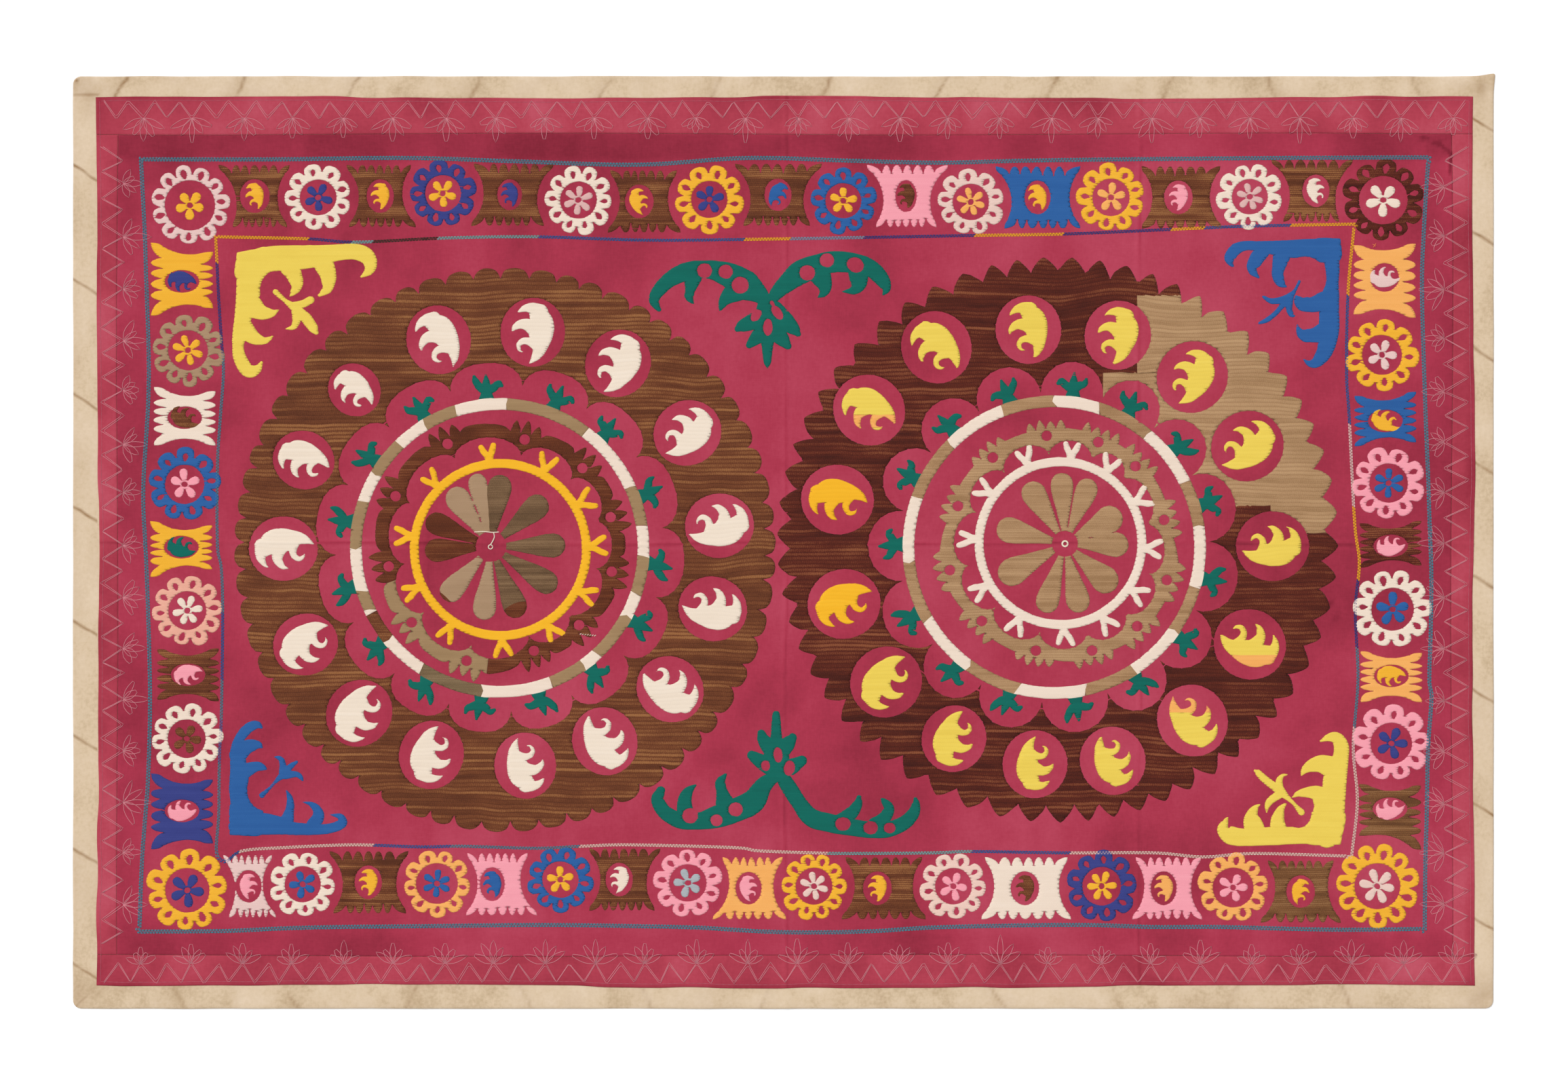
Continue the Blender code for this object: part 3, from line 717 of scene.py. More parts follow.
rimLines = (0.0, 0.5, 1.2, 2.2, 3.8, 6.5)   # the grid is closer near the rim of a sheet
edgeJitter = {"size": 1.5, "patch": 60.0}   # small unevenness of a hand cut edge
edges = {   # mean place of each cut edge or seam, how far it sways, wave length, start in degrees
    "clothTop": (666.0, 1.8, 900.0, 60.0), "clothBottom": (-666.0, 2.4, 1500.0, 250.0),
    "clothLeft": (-1028.5, 2.6, 2100.0, 100.0), "clothRight": (1034.0, 1.8, 700.0, 20.0),
    "seamTop": (611.0, 1.5, 1100.0, 200.0), "seamBottom": (-620.0, 1.5, 1300.0, 30.0),
    "seamLeft": (-998.0, 1.2, 800.0, 140.0), "seamRight": (1002.0, 1.6, 950.0, 310.0),
}


def sway(edge, along):
    place, size, length, start = edges[edge]
    along = np.asarray(along, float)
    jitter = edgeJitter["size"] * softNoise(along, 0 * along + place, edgeJitter["patch"], 91)
    wave = size * np.sin(2 * math.pi * along / length + math.radians(start))
    return place + wave + (jitter if edge.startswith("cloth") else 0)


def gridLines(start, stop, step, fine=()):
    # places of a sheet's grid lines: closer at the rim and round the folds
    rim = rimLines[-1]
    lines = list(np.arange(start + rim + step, stop - rim - step * 0.6, step))
    for centre, reach, gap in fine:
        lines = [v for v in lines if abs(v - centre) > reach + gap * 0.6]
        lines += list(np.arange(max(centre - reach, start + rim + 1), min(centre + reach, stop - rim - 1),
                                gap))
    lines += [start + r for r in rimLines] + [stop - r for r in rimLines]
    return np.array(sorted(lines))


def clothSheet(name, xs, ys, shape, material, node, topHeight, bottomHeight, tint):
    # a closed sheet: shape(x, y) moves the grid, tint(x, y) gives the cloth's tone with its painted crease
    # shade, and the stain
    gx, gy = np.meshgrid(xs, ys, indexing="ij")
    x, y = shape(gx, gy)
    edgeGap = np.minimum(np.minimum(gx - xs[0], xs[-1] - gx), np.minimum(gy - ys[0], ys[-1] - gy))
    lift = clothLift(x, y)
    roll = np.clip(1 - edgeGap / 2.6, 0, 1) ** 2
    top = lift + topHeight - (topHeight - bottomHeight) * 0.62 * roll
    bottom = lift + bottomHeight + (topHeight - bottomHeight) * 0.22 * np.clip(1 - edgeGap / 1.6, 0, 1) ** 2
    n, m = gx.shape
    verts = np.concatenate([np.stack([x, y, top], -1).reshape(-1, 3),
                            np.stack([x, y, bottom], -1).reshape(-1, 3)])
    index = np.arange(n * m).reshape(n, m)
    quads = np.stack([index[:-1, :-1], index[1:, :-1], index[1:, 1:], index[:-1, 1:]], -1).reshape(-1, 4)
    ring = np.concatenate([index[:, 0], index[-1, 1:], index[-2::-1, -1], index[0, -2:0:-1]])
    ahead = np.roll(ring, -1)
    wall = np.stack([ring, ring + n * m, ahead + n * m, ahead], -1)
    faces = np.concatenate([quads, quads[:, ::-1] + n * m, wall])
    fadeAndShade, stain = tint(x, y)
    piece = makePiece(name, verts, faces.tolist(), [material], None,
                      {"fadeAndShade": np.tile(fadeAndShade.ravel(), 2), "stain": np.tile(stain.ravel(), 2)})
    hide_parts(node)
    print("laid", name, 2 * len(faces), "triangles")
    return piece


def near(distance, reach):
    return np.exp(-(distance / reach) ** 2)


backingSize = {
    "length": 2130.0, "height": 1400.0, "corner": 12.0, "edgeWander": 0.5,
    "ear": 2.0, "earRound": 2.5, "earLength": 17.0, "earOut": (2.4, 2.2),   # the pulled corner, top right
    "step": 4.4, "bandStep": 3.8, "middleStep": 50.0, "band": 42.0,
    "cornerStains": [(-1, 1, 0.55), (1, 1, 0.5), (-1, -1, 0.35), (1, -1, 0.35)],   # which corner, strength
    # slanting brown creases on the two long sides: side, place along it, lean, strength
    "marks": [
        ("top", -989, 0.55, 0.75), ("top", -812, 0.5, 0.6), ("top", -645, 0.6, 0.55), ("top", -459, 0.5, 0.5),
        ("top", -262, 0.6, 0.5), ("top", -100, 0.5, 0.5), ("top", 66, 0.5, 0.55), ("top", 240, 0.6, 0.5),
        ("top", 406, 0.5, 0.5), ("top", 579, 0.5, 0.5), ("top", 730, -0.5, 0.5), ("top", 948, -0.6, 0.6),
        ("bottom", -905, 0.5, 0.4), ("bottom", -735, 0.5, 0.35), ("bottom", -560, -0.5, 0.35),
        ("bottom", -385, 0.5, 0.3), ("bottom", -205, 0.5, 0.35), ("bottom", -30, -0.5, 0.3),
        ("bottom", 150, 0.5, 0.3), ("bottom", 322, 0.5, 0.35), ("bottom", 500, 0.5, 0.3),
        ("bottom", 672, -0.5, 0.35), ("bottom", 845, 0.5, 0.4),
    ],
}


def backingShape(x, y):
    row = backingSize
    halfX, halfY, corner = row["length"] / 2, row["height"] / 2, row["corner"]
    corner = np.where((x > 0) & (y > 0), row["earRound"], corner)
    u, v = np.abs(x) - (halfX - corner), np.abs(y) - (halfY - corner)
    turned = (u > 0) & (v > 0)
    reach = np.where(turned, np.maximum(u, v) / np.maximum(np.hypot(u, v), 1e-6), 1)
    outX = np.where(turned, np.sign(x) * (halfX - corner + u * reach), x)
    outY = np.where(turned, np.sign(y) * (halfY - corner + v * reach), y)
    edge = np.exp(-np.minimum(halfX - np.abs(x), halfY - np.abs(y)) / 12.0)
    wander = row["edgeWander"] * (softNoise(x, y, 55.0, 41) - 0.9)
    outX = outX + np.sign(x) * wander * edge * (np.abs(x) > halfX - 60)
    outY = outY + np.sign(y) * wander * edge * (np.abs(y) > halfY - 60)
    # the main edge lies a little inside the ear at the top right corner
    topSide = np.exp(-(halfY - y) / 25.0)
    ear = near(np.hypot(x - halfX, y - halfY), row["earLength"])
    outY = outY - row["ear"] * topSide * (1 - ear)
    outX = outX + row["earOut"][0] * ear * (x > 0) * (y > 0)
    outY = outY + row["earOut"][1] * ear * (x > 0) * (y > 0)
    return outX, outY


def backingTint(x, y):
    fadeAndShade = 0.55 + 0.20 * softNoise(x, y, 60.0, 51) + 0.16 * softNoise(x, y, 18.0, 52)
    stain = 0.10 * np.clip(softNoise(x, y, 34.0, 53), 0, 1)
    for side, place, lean, strength in backingSize["marks"]:
        along, out = x, np.abs(y) - 684
        there = y > 640 if side == "top" else y < -640
        bend = 4.0 * softNoise(along, out, 26.0, 54)
        gap = along - place - lean * out - bend
        stain = stain + there * strength * near(gap, 2.7) * (0.75 + 0.5 * softNoise(along, out, 12.0, 55))
        stain = stain + there * 0.2 * strength * near(gap + 12 * lean, 13.0)
    cornerX, cornerY = 1050.0, 682.0
    for signX, signY, strength in backingSize["cornerStains"]:
        stain = stain + strength * near(np.hypot(x - signX * cornerX, y - signY * cornerY), 26.0) * (
            0.5 + 0.5 * softNoise(x, y, 14.0, 56))
    stain = stain + 0.9 * near(np.hypot(x + 1059, y - 691), 2.6)            # dark spot, top left
    stain = stain + 0.35 * near(y - 670 + 0.02 * (x + 1040), 1.6) * (x < -1026)   # lap of the strip
    stain = stain + 0.28 * near((x + 1046) - (y + 682), 2.0) * (x < -1028) * (y < -662)   # mitre crease
    rim = np.minimum(1065 - np.abs(x), 700 - np.abs(y))
    stain = stain + 0.16 * np.exp(-rim / 5.0) * (0.6 + 0.6 * softNoise(x, y, 25.0, 57))
    return np.clip(fadeAndShade, 0, 1), np.clip(stain, 0, 0.92)


def sheetSway(xLow, xHigh, yLow, yHigh):
    # moves the rim of a straight grid onto the swaying edges
    def shape(x, y):
        low, high = (sway(xLow, y) - edges[xLow][0]), (sway(xHigh, y) - edges[xHigh][0])
        outX = x + low * np.exp(-(x - edges[xLow][0]) / 60) + high * np.exp((x - edges[xHigh][0]) / 60)
        low, high = (sway(yLow, x) - edges[yLow][0]), (sway(yHigh, x) - edges[yHigh][0])
        if edges[yHigh][0] - edges[yLow][0] < 100:   # a narrow strip blends between its two sides
            share = (y - edges[yLow][0]) / (edges[yHigh][0] - edges[yLow][0])
            return outX, y + low * (1 - share) + high * share
        return outX, y + low * np.exp(-(y - edges[yLow][0]) / 60) + high * np.exp((y - edges[yHigh][0]) / 60)
    return shape


def sideSway(xLow, xHigh):
    # the same for an upright strip
    def shape(x, y):
        share = (x - edges[xLow][0]) / (edges[xHigh][0] - edges[xLow][0])
        outX = sway(xLow, y) * (1 - share) + sway(xHigh, y) * share
        low, high = sway("seamBottom", x) - edges["seamBottom"][0], sway("seamTop", x) - edges["seamTop"][0]
        return outX, y + low * np.exp(-(y + 620) / 60) + high * np.exp((y - 611) / 60)
    return shape


def creaseShadeAndHighlight(x, y):
    # painted shade on the line of each crease and painted highlight on its flanks, and painted shade on the
    # pulled crease
    wearAndCreaseShade = np.zeros(x.shape)
    for fold in clothLie["folds"]:
        gap = foldDistance(x, y, fold)
        patchy = np.clip(0.55 + 0.6 * softNoise(x, y, 70.0, 61), 0, 1)
        wearAndCreaseShade += fold[2] * patchy * (0.12 * near(np.abs(gap) - 6, 3.0) - 0.34 * near(gap, 1.6))
    wearAndCreaseShade += -0.9 * near(pullDistance(x, y), 2.0)
    return wearAndCreaseShade


groundMarks = {
    "blotches": [(0.20, 210.0, 62), (0.12, 75.0, 63), (0.07, 24.0, 64)],   # strength, size, seed
    # darker bands beyond the outer chain line, at the top, left, bottom and right: way out, start, strength
    "bands": [(1, 572, 0.2), (-1, 958, 0.05), (-1, 586, 0.12), (1, 966, 0.04)],
    "spots": [(816.0, -95.0), (827.0, -109.0)],   # small dark spots on the right
}


def groundTint(x, y):
    fadeAndShade = 0.52 + sum(amount * softNoise(x, y, patch, seed)
                      for amount, patch, seed in groundMarks["blotches"])
    for along, sign, start, amount in zip((y, x, y, x), *zip(*groundMarks["bands"])):
        fadeAndShade = fadeAndShade - amount / (1 + np.exp(-(sign * along - start) / 3.0))
    rowNoise = softNoise(x, y * 0.12, 16.0, 65)
    # adds the painted shade and highlight of the creases
    fadeAndShade = fadeAndShade + creaseShadeAndHighlight(x, y) + 0.06 * rowNoise * np.exp(-((np.abs(y) - 500) / 110) ** 2)
    for spotX, spotY in groundMarks["spots"]:
        fadeAndShade = fadeAndShade - 0.5 * near(np.hypot(x - spotX, y - spotY), 4.5)
    return np.clip(fadeAndShade, 0, 1), 0 * x


def edgingTint(x, y):
    # adds the painted shade and highlight of the creases
    fadeAndShade = 0.45 + 0.24 * softNoise(x, y, 120.0, 66) + 0.14 * softNoise(x, y, 30.0, 67) + creaseShadeAndHighlight(x, y)
    outerGap = np.minimum(1031 - np.abs(x), 666 - np.abs(y))
    fadeAndShade = fadeAndShade - 0.25 * np.exp(-np.abs(outerGap) / 3.0)
    return np.clip(fadeAndShade, 0, 1), 0 * x


foldX = [(fold[1], 13.0, 2.4) for fold in clothLie["folds"] if fold[0] == "upright" and fold[2] > 0.5]
foldY = [(fold[1], 13.0, 2.4) for fold in clothLie["folds"] if fold[0] == "across"]
size = backingSize
halfX, halfY = size["length"] / 2, size["height"] / 2
bandRows = [*rimLines, *np.arange(rimLines[-1] + size["bandStep"], size["band"], size["bandStep"])]
backingX = gridLines(-halfX, halfX, size["step"])
backingY = np.array(sorted(
    [-halfY + r for r in bandRows] + [halfY - r for r in bandRows]
    + list(np.arange(-halfY + size["band"] + size["middleStep"] / 2, halfY - size["band"],
                     size["middleStep"]))))
backing = clothSheet("backing", backingX, backingY, backingShape, backingCotton,
                     "backing_cloth",
                     clothLie["backingTop"], 0.0, backingTint)

gap = 0.15   # between two cloths along a seam
groundStep = 10.0
ground = clothSheet(
    "ground",
    gridLines(edges["seamLeft"][0] + gap, edges["seamRight"][0] - gap, groundStep,
              foldX + [(985.0, 18.0, 3.0)]),
    gridLines(edges["seamBottom"][0] + gap, edges["seamTop"][0] - gap, groundStep,
              foldY + [(575.0, 24.0, 3.5)]),
    sheetSway("seamLeft", "seamRight", "seamBottom", "seamTop"), groundCotton,
    "ground_cloth",
    clothLie["groundTop"], clothLie["groundBottom"], groundTint)

stripStep = 8.0
for name, node, xLow, xHigh, yLow, yHigh in (
        ("stripTop", "edging_top", "clothLeft", "clothRight", "seamTop", "clothTop"),
        ("stripBottom", "edging_bottom", "clothLeft", "clothRight", "clothBottom", "seamBottom"),
        ("stripLeft", "edging_left", "clothLeft", "seamLeft", "seamBottom", "seamTop"),
        ("stripRight", "edging_right", "seamRight", "clothRight", "seamBottom", "seamTop")):
    long = name in ("stripTop", "stripBottom")
    left, right, low, high = (edges[k][0] for k in (xLow, xHigh, yLow, yHigh))
    if long:
        low, high = (low + gap, high) if name == "stripTop" else (low, high - gap)
    else:
        low, high = low + gap, high - gap
        left, right = (left, right - gap) if name == "stripLeft" else (left + gap, right)
    xs = gridLines(left, right, stripStep, foldX if long else ())
    ys = gridLines(low, high, stripStep, () if long else foldY)
    shape = sheetSway(xLow, xHigh, yLow, yHigh) if long else sideSway(xLow, xHigh)
    clothSheet(name, xs, ys, shape, edgingCotton, node,
                              clothLie["groundTop"], clothLie["groundBottom"], edgingTint)


# Wheels

wheelLook = {"rowGap": 6.0, "perRow": 4, "step": 6.0, "height": 0.66, "ridge": 0.17, "wave": 4.0,
             "waveLength": 90.0,
             "rowShade": 0.17, "longShade": 0.16, "bandShade": 0.12, "grooveShade": -0.05}
wheels = {
    "left": {
        "centre": (-417.0, -12.0), "radiusX": 406.0, "radiusY": 423.0, "teeth": 62, "toothDepth": 14.0,
        "toothStart": 91.0, "toothPower": 2.4, "toothRound": 0.62, "yarn": "brown",
        "windowCentre": (-421.0, -10.0), "windowWidth": 96.0, "windowHeight": 103.0,
        "windows": [(6, 327), (32, 327), (58, 327), (82, 327), (107, 327), (133, 325), (156, 326), (180, 328),
                    (206, 328), (229, 327), (251, 327), (276, 327), (298, 327), (320, 328), (344, 328)],
        "leafYarn": ["cream"] * 15, "smallWindows": {5: 0.79, 6: 0.9, 8: 0.95, 11: 0.96},
        "lobeCentre": (-425.0, -9.0), "lobeTop": 277.0, "lobeCusp": 244.0, "lobePower": 2.8,
        "lobes": [20, 47, 69, 95, 120, 145, 170, 195, 219, 241, 263, 285, 307, 331, 354],
        "ring": {"centre": (-425.0, -9.0), "radius": 215.5, "width": 18.5}, "tanPatches": [],
    },
    "right": {
        "centre": (411.0, 3.0), "radiusX": 421.0, "radiusY": 424.0, "teeth": 60, "toothDepth": 22.0,
        "toothStart": 90.0, "toothPower": 1.4, "toothRound": 1.0, "yarn": "darkBrown",
        "windowCentre": (412.0, -1.0), "windowWidth": 104.0, "windowHeight": 109.0,
        "windows": [(27, 318), (51, 319), (74, 323), (98, 322), (122, 345), (145, 346), (169, 337),
                    (196, 334), (219, 332), (242, 333), (264, 334), (284, 337), (307, 334), (332, 325),
                    (359, 321)],
        "leafYarn": ["lemon", "lemon", "lemon", "lemon", "lemon", "lemonBand", "golden", "golden",
                     "lemon", "lemon", "lemon", "lemon", "lemonTop", "lemonFoot", "lemon"],
        "smallWindows": {2: 0.95, 3: 0.94, 9: 0.92, 10: 0.93, 11: 0.94},
        "lobeCentre": (406.0, -8.0), "lobeTop": 279.0, "lobeCusp": 231.0, "lobePower": 2.1,
        "lobes": [16, 39, 61, 83, 107, 131, 154, 179, 206, 231, 253, 278, 302, 324, 348],
        "ring": {"centre": (406.0, -8.0), "radius": 218.5, "width": 18.5},
        # the dark yarn ran out here
        "tanPatches": [(530, 860, 252, 369), (479, 860, 54, 253), (730, 860, 13, 55)],
    },
}

wheelFan = (453.0, 354.0, 62.0, 0.22)   # rows of the right wheel fan out here: place, reach, slope
# one leaf, upright, in four strokes: head, back and tail, then three hooked claws
leafStrokes = [
    [(-1, 30, 25), (9, 17, 36), (12, 2, 37), (14, -12, 30), (15, -24, 20), (12, -35, 12), (6, -46, 1)],
    [(3, 31, 26), (-8, 34, 18), (-18, 32, 12), (-26, 26, 5), (-29, 21, 0)],
    [(8, 3, 30), (-6, 8, 21), (-18, 8, 15), (-27, 1, 9), (-30, -8, 1)],
    [(10, -15, 22), (-2, -14, 13), (-11, -16, 10), (-15.5, -23, 8), (-12, -30, 5), (-5, -32, 0)],
]


def toothedOutline(row):
    # rounded or pointed teeth round an oval, each a little different
    rng = np.random.default_rng(int(row["teeth"]))
    widths = 1 + 0.14 * rng.uniform(-1, 1, row["teeth"])
    stops = np.concatenate([[0], np.cumsum(widths)]) / widths.sum() * 360 + row["toothStart"]
    depths = row["toothDepth"] * (1 + 0.18 * rng.uniform(-1, 1, row["teeth"]))
    points = []
    for start, stop, depth in zip(stops, stops[1:], depths):
        for u in np.linspace(-1, 1, 11)[:-1]:
            rise = (1 - abs(u) ** row["toothPower"]) ** row["toothRound"]
            turn = math.radians(start + (u + 1) / 2 * (stop - start))
            points.append((row["centre"][0] + (row["radiusX"] - depth + depth * rise) * math.cos(turn),
                           row["centre"][1] + (row["radiusY"] - depth + depth * rise) * math.sin(turn)))
    return np.array(points)


def lobedOutline(row):
    # the wheel's inner edge: a lobe round each sprig, with a cusp between
    middles = row["lobes"]
    before = [middles[-1] - 360] + middles[:-1]
    after = middles[1:] + [middles[0] + 360]
    points = []
    for start, stop in zip([(a + b) / 2 for a, b in zip(before, middles)],
                           [(a + b) / 2 for a, b in zip(middles, after)]):
        for u in (-1, -0.95, -0.85, -0.7, -0.5, -0.25, 0, 0.25, 0.5, 0.7, 0.85, 0.95):
            rise = (1 - abs(u) ** row["lobePower"]) ** 0.62
            points.append(polar(row["lobeCentre"], row["lobeCusp"]
                                + (row["lobeTop"] - row["lobeCusp"]) * rise,
                                start + (u + 1) / 2 * (stop - start)))
    return np.array(points)


def wheelLayers(row):
    layers = [("fill", toothedOutline(row), row["yarn"]), ("bare", lobedOutline(row), "")]
    for x0, x1, y0, y1 in row["tanPatches"]:
        layers.append(("tint", np.array([(x0, y0), (x1, y0), (x1, y1), (x0, y1)], float), "tan"))
    rng = np.random.default_rng(7)
    for i, ((degrees, distance), yarn) in enumerate(zip(row["windows"], row["leafYarn"])):
        centre, share = polar(row["windowCentre"], distance, degrees), row["smallWindows"].get(i, 1.0)
        layers.append(("bare", oval(centre, row["windowWidth"] * share, row["windowHeight"] * share, degrees,
                                    34), ""))
        tilt = degrees - 90 + rng.uniform(-6, 6)
        main = yarn if yarn in yarnLook["shades"] else "lemon"
        leafSize = share * (1.0 + rng.uniform(-0.04, 0.04))
        for points in leafStrokes:
            layers.append(("fill", placed(stroke(points), centre, tilt, leafSize), main))
        if yarn != main:   # a leaf finished in a second yarn
            y0, y1 = {"lemonBand": (-26, -7), "lemonTop": (12, 60), "lemonFoot": (-60, -16)}[yarn]
            strip = np.array([(-50, y0), (50, y0), (50, y1), (-50, y1)], float)
            layers.append(("tint", placed(strip, centre), "lightOrange", "lemon"))
    return layers


yarns = list(yarnLook["shades"])
for side, row in wheels.items():
    look = dict(wheelLook, seed=101 if side == "left" else 202)
    if side == "right":
        look["fan"] = wheelFan
    stitchField(side + "Wheel", wheelLayers(row), yarns, look)


# Rings and flowers inside the wheels

ringLook = {"rowGap": 2.6, "step": 5.5, "height": 0.58, "ridge": 0.12, "wave": 1.0, "waveLength": 90.0,
            "rowShade": 0.14, "longShade": 0.22, "bandShade": 0.16, "grooveShade": -0.08}

stripedRings = {   # where each colour stops, in degrees, going counter-clockwise from the first
    "left": {"from": 86, "segments": [
        ("white", 108), ("ringTan", 121), ("white", 134), ("ringTan", 148), ("white", 161.5),
        ("ringTan", 179), ("white", 198), ("ringTan", 206.5), ("brown", 218), ("white", 238),
        ("ringKhaki", 262.5), ("white", 289), ("ringTan", 303), ("white", 312), ("ringTan", 329),
        ("white", 342), ("ringTan", 357), ("white", 369.5), ("ringTan", 385), ("white", 413),
        ("ringTan", 446)]},
    "right": {"from": 87, "segments": [
        ("tan", 111), ("white", 135), ("tan", 160), ("white", 184.5), ("tan", 210), ("white", 233),
        ("tan", 256), ("white", 283.5), ("tan", 305), ("white", 326), ("tan", 344), ("white", 367.6),
        ("tan", 387.5), ("white", 411), ("tan", 431), ("white", 447)]},
}
sprigStrokes = [   # foot and middle leaf, then the two side leaves
    [(0, -4, 24), (0, 2, 19), (0, 10, 14), (0.5, 20, 11), (1, 30, 4)],
    [(-1, 9, 13), (-9, 13, 11.5), (-16, 16, 10), (-20, 13, 6)],
    [(1, 9, 13), (9, 14, 11.5), (15, 19, 10), (17, 25, 5)],
]


def annulus(centre, radius, width, yarn, count=150):
    return [("fill", oval(centre, 2 * radius + width, 2 * radius + width, 0, count), yarn),
            ("bare", oval(centre, 2 * radius - width, 2 * radius - width, 0, count), "")]


def stripedRing(side):
    row, plan = wheels[side]["ring"], stripedRings[side]
    layers = annulus(row["centre"], row["radius"], row["width"], plan["segments"][0][0])
    start = plan["from"]
    rng = np.random.default_rng(17)
    for yarn, stop in plan["segments"]:
        lean, nextLean = rng.uniform(-2.6, 2.6, 2)
        inner, outer = row["radius"] - row["width"], row["radius"] + row["width"]
        arc = np.linspace(start, stop, 12)
        wedge = [polar(row["centre"], inner, a + lean) for a in arc]
        wedge += [polar(row["centre"], row["radius"], stop + nextLean + 1.2)]
        wedge += [polar(row["centre"], outer, a + nextLean) for a in arc[::-1]]
        layers.append(("tint", np.array(wedge), yarn, plan["segments"][0][0]))
        start = stop
    return layers


def ringSprigs(side, yarn):
    # a trefoil sprig on the ring under each lobe
    row = wheels[side]
    rng = np.random.default_rng(27 if side == "left" else 28)
    layers = []
    for degrees in row["lobes"]:
        foot = polar(row["ring"]["centre"], row["ring"]["radius"] + row["ring"]["width"] / 2 + 1, degrees)
        turn, flip = degrees - 90 + rng.uniform(-8, 8), rng.choice((-1, 1))
        for n, points in enumerate(sprigStrokes):
            shape = np.array(points, float) * (flip, 1, 1)
            shape[2:, 1] += rng.uniform(-3, 4) if n else 0
            layers.append(("fill", placed(stroke(shape, 4), foot, turn, 1.12), yarn))
    return layers


scallopedRings = {
    "left": {"centre": (-424.5, -9.5), "yarn": "ringBrown", "cusp": 144.0, "scallop": 165.0, "outer": 186.0,
             "tooth": 198.0,
             "toothFoot": 179.0, "toothArc": 5.2, "teeth": 3, "middleReach": 169.0,
             "eyelets": [(15.7, 172), (44.2, 172), (77.2, 167), (116.7, 175), (153.5, 175), (189.3, 169),
                         (220.1, 173), (253.5, 176), (288.3, 162), (315.8, 165), (348.1, 171)],
             "eyeletSize": 15.0},
    "right": {"centre": (414.3, -1.0), "yarn": "tan", "cusp": 134.0, "scallop": 156.0, "outer": 175.0,
              "tooth": 189.0,
              "toothFoot": 175.0, "toothArc": 5.0, "teeth": 4, "middleReach": 164.0,
              "eyelets": [(12.2, 160), (45.2, 161), (69, 161), (97, 161), (128.3, 162), (160.3, 162),
                          (194.1, 170), (225.2, 166), (257.5, 166), (286.6, 169), (312.7, 171), (340.6, 170)],
              "eyeletSize": 15.0},
}


def scallopedRing(row):
    # cusps point inwards at the eyelets, with a group of small teeth outside each
    eyelets = row["eyelets"]
    after = eyelets[1:] + [(eyelets[0][0] + 360, eyelets[0][1])]
    inner, outer = [], []
    half = row["teeth"] * row["toothArc"] / 2
    for (a, reach), (b, nextReach) in zip(eyelets, after):
        shift, nextShift = reach - row["middleReach"], nextReach - row["middleReach"]
        for u in (0, 0.03, 0.08, 0.16, 0.28, 0.4, 0.5, 0.6, 0.72, 0.84, 0.92, 0.97):
            rise = (1 - abs(2 * u - 1) ** 2.2) ** 0.62
            move = shift * (1 - u) + nextShift * u
            radius = row["cusp"] + move + (row["scallop"] - row["cusp"]) * rise
            inner.append(polar(row["centre"], radius, a + u * (b - a)))
        for tooth in range(row["teeth"]):
            for u in np.linspace(-1, 1, 9)[:-1]:
                rise = (1 - abs(u) ** 1.5) ** 0.9 * (1 - 0.12 * ((tooth * 7 + int(a)) % 3))
                turn = a - half + (tooth + (u + 1) / 2) * row["toothArc"]
                radius = row["toothFoot"] + shift + (row["tooth"] - row["toothFoot"]) * rise
                outer.append(polar(row["centre"], radius, turn))
        for u in np.linspace(0, 1, 11)[:-1]:
            rise = (1 - abs(2 * u - 1) ** 4) ** 0.7
            radius = (row["toothFoot"] + shift * (1 - u) + nextShift * u
                      + (row["outer"] - row["toothFoot"]) * rise)
            outer.append(polar(row["centre"], radius, a + half + u * (b - a - 2 * half)))
    layers = [("fill", np.array(outer), row["yarn"]), ("bare", np.array(inner), "")]
    for degrees, reach in eyelets:
        layers.append(("bare", oval(polar(row["centre"], reach, degrees), row["eyeletSize"],
                                    row["eyeletSize"], degrees, 18), ""))
    return layers


innerRings = {
    "left": {"centre": (-424.0, -11.5), "radius": 129.0, "width": 14.5, "yarn": "golden",
             "forks": [29.9, 60.7, 97, 135, 171.4, 204.7, 236.8, 270.9, 302, 332, 361.9]},
    "right": {"centre": (415.3, -2.0), "radius": 122.0, "width": 14.5, "yarn": "white",
              "forks": [28.7, 57, 83, 112.7, 144.3, 177.2, 209.6, 241.3, 272, 299.6, 326.6, 356.4]},
}


def forkedRing(row):
    layers = annulus(row["centre"], row["radius"], row["width"], row["yarn"], 110)
    rng = np.random.default_rng(37)
    for degrees in row["forks"]:
        foot = polar(row["centre"], row["radius"] + row["width"] / 2 - 1, degrees)
        for sign in (-1, 1):
            spread, length = rng.uniform(0.8, 1.9), rng.uniform(0.95, 1.15)
            tongue = [(0, -2, 12), (sign * 3 * spread, 7 * length, 10),
                      (sign * 6.5 * spread, 14 * length, 10.5), (sign * 9 * spread, 21 * length, 9)]
            layers.append(("fill", placed(stroke(tongue, 4), foot, degrees - 90 + rng.uniform(-3, 3)),
                           row["yarn"]))
    return layers


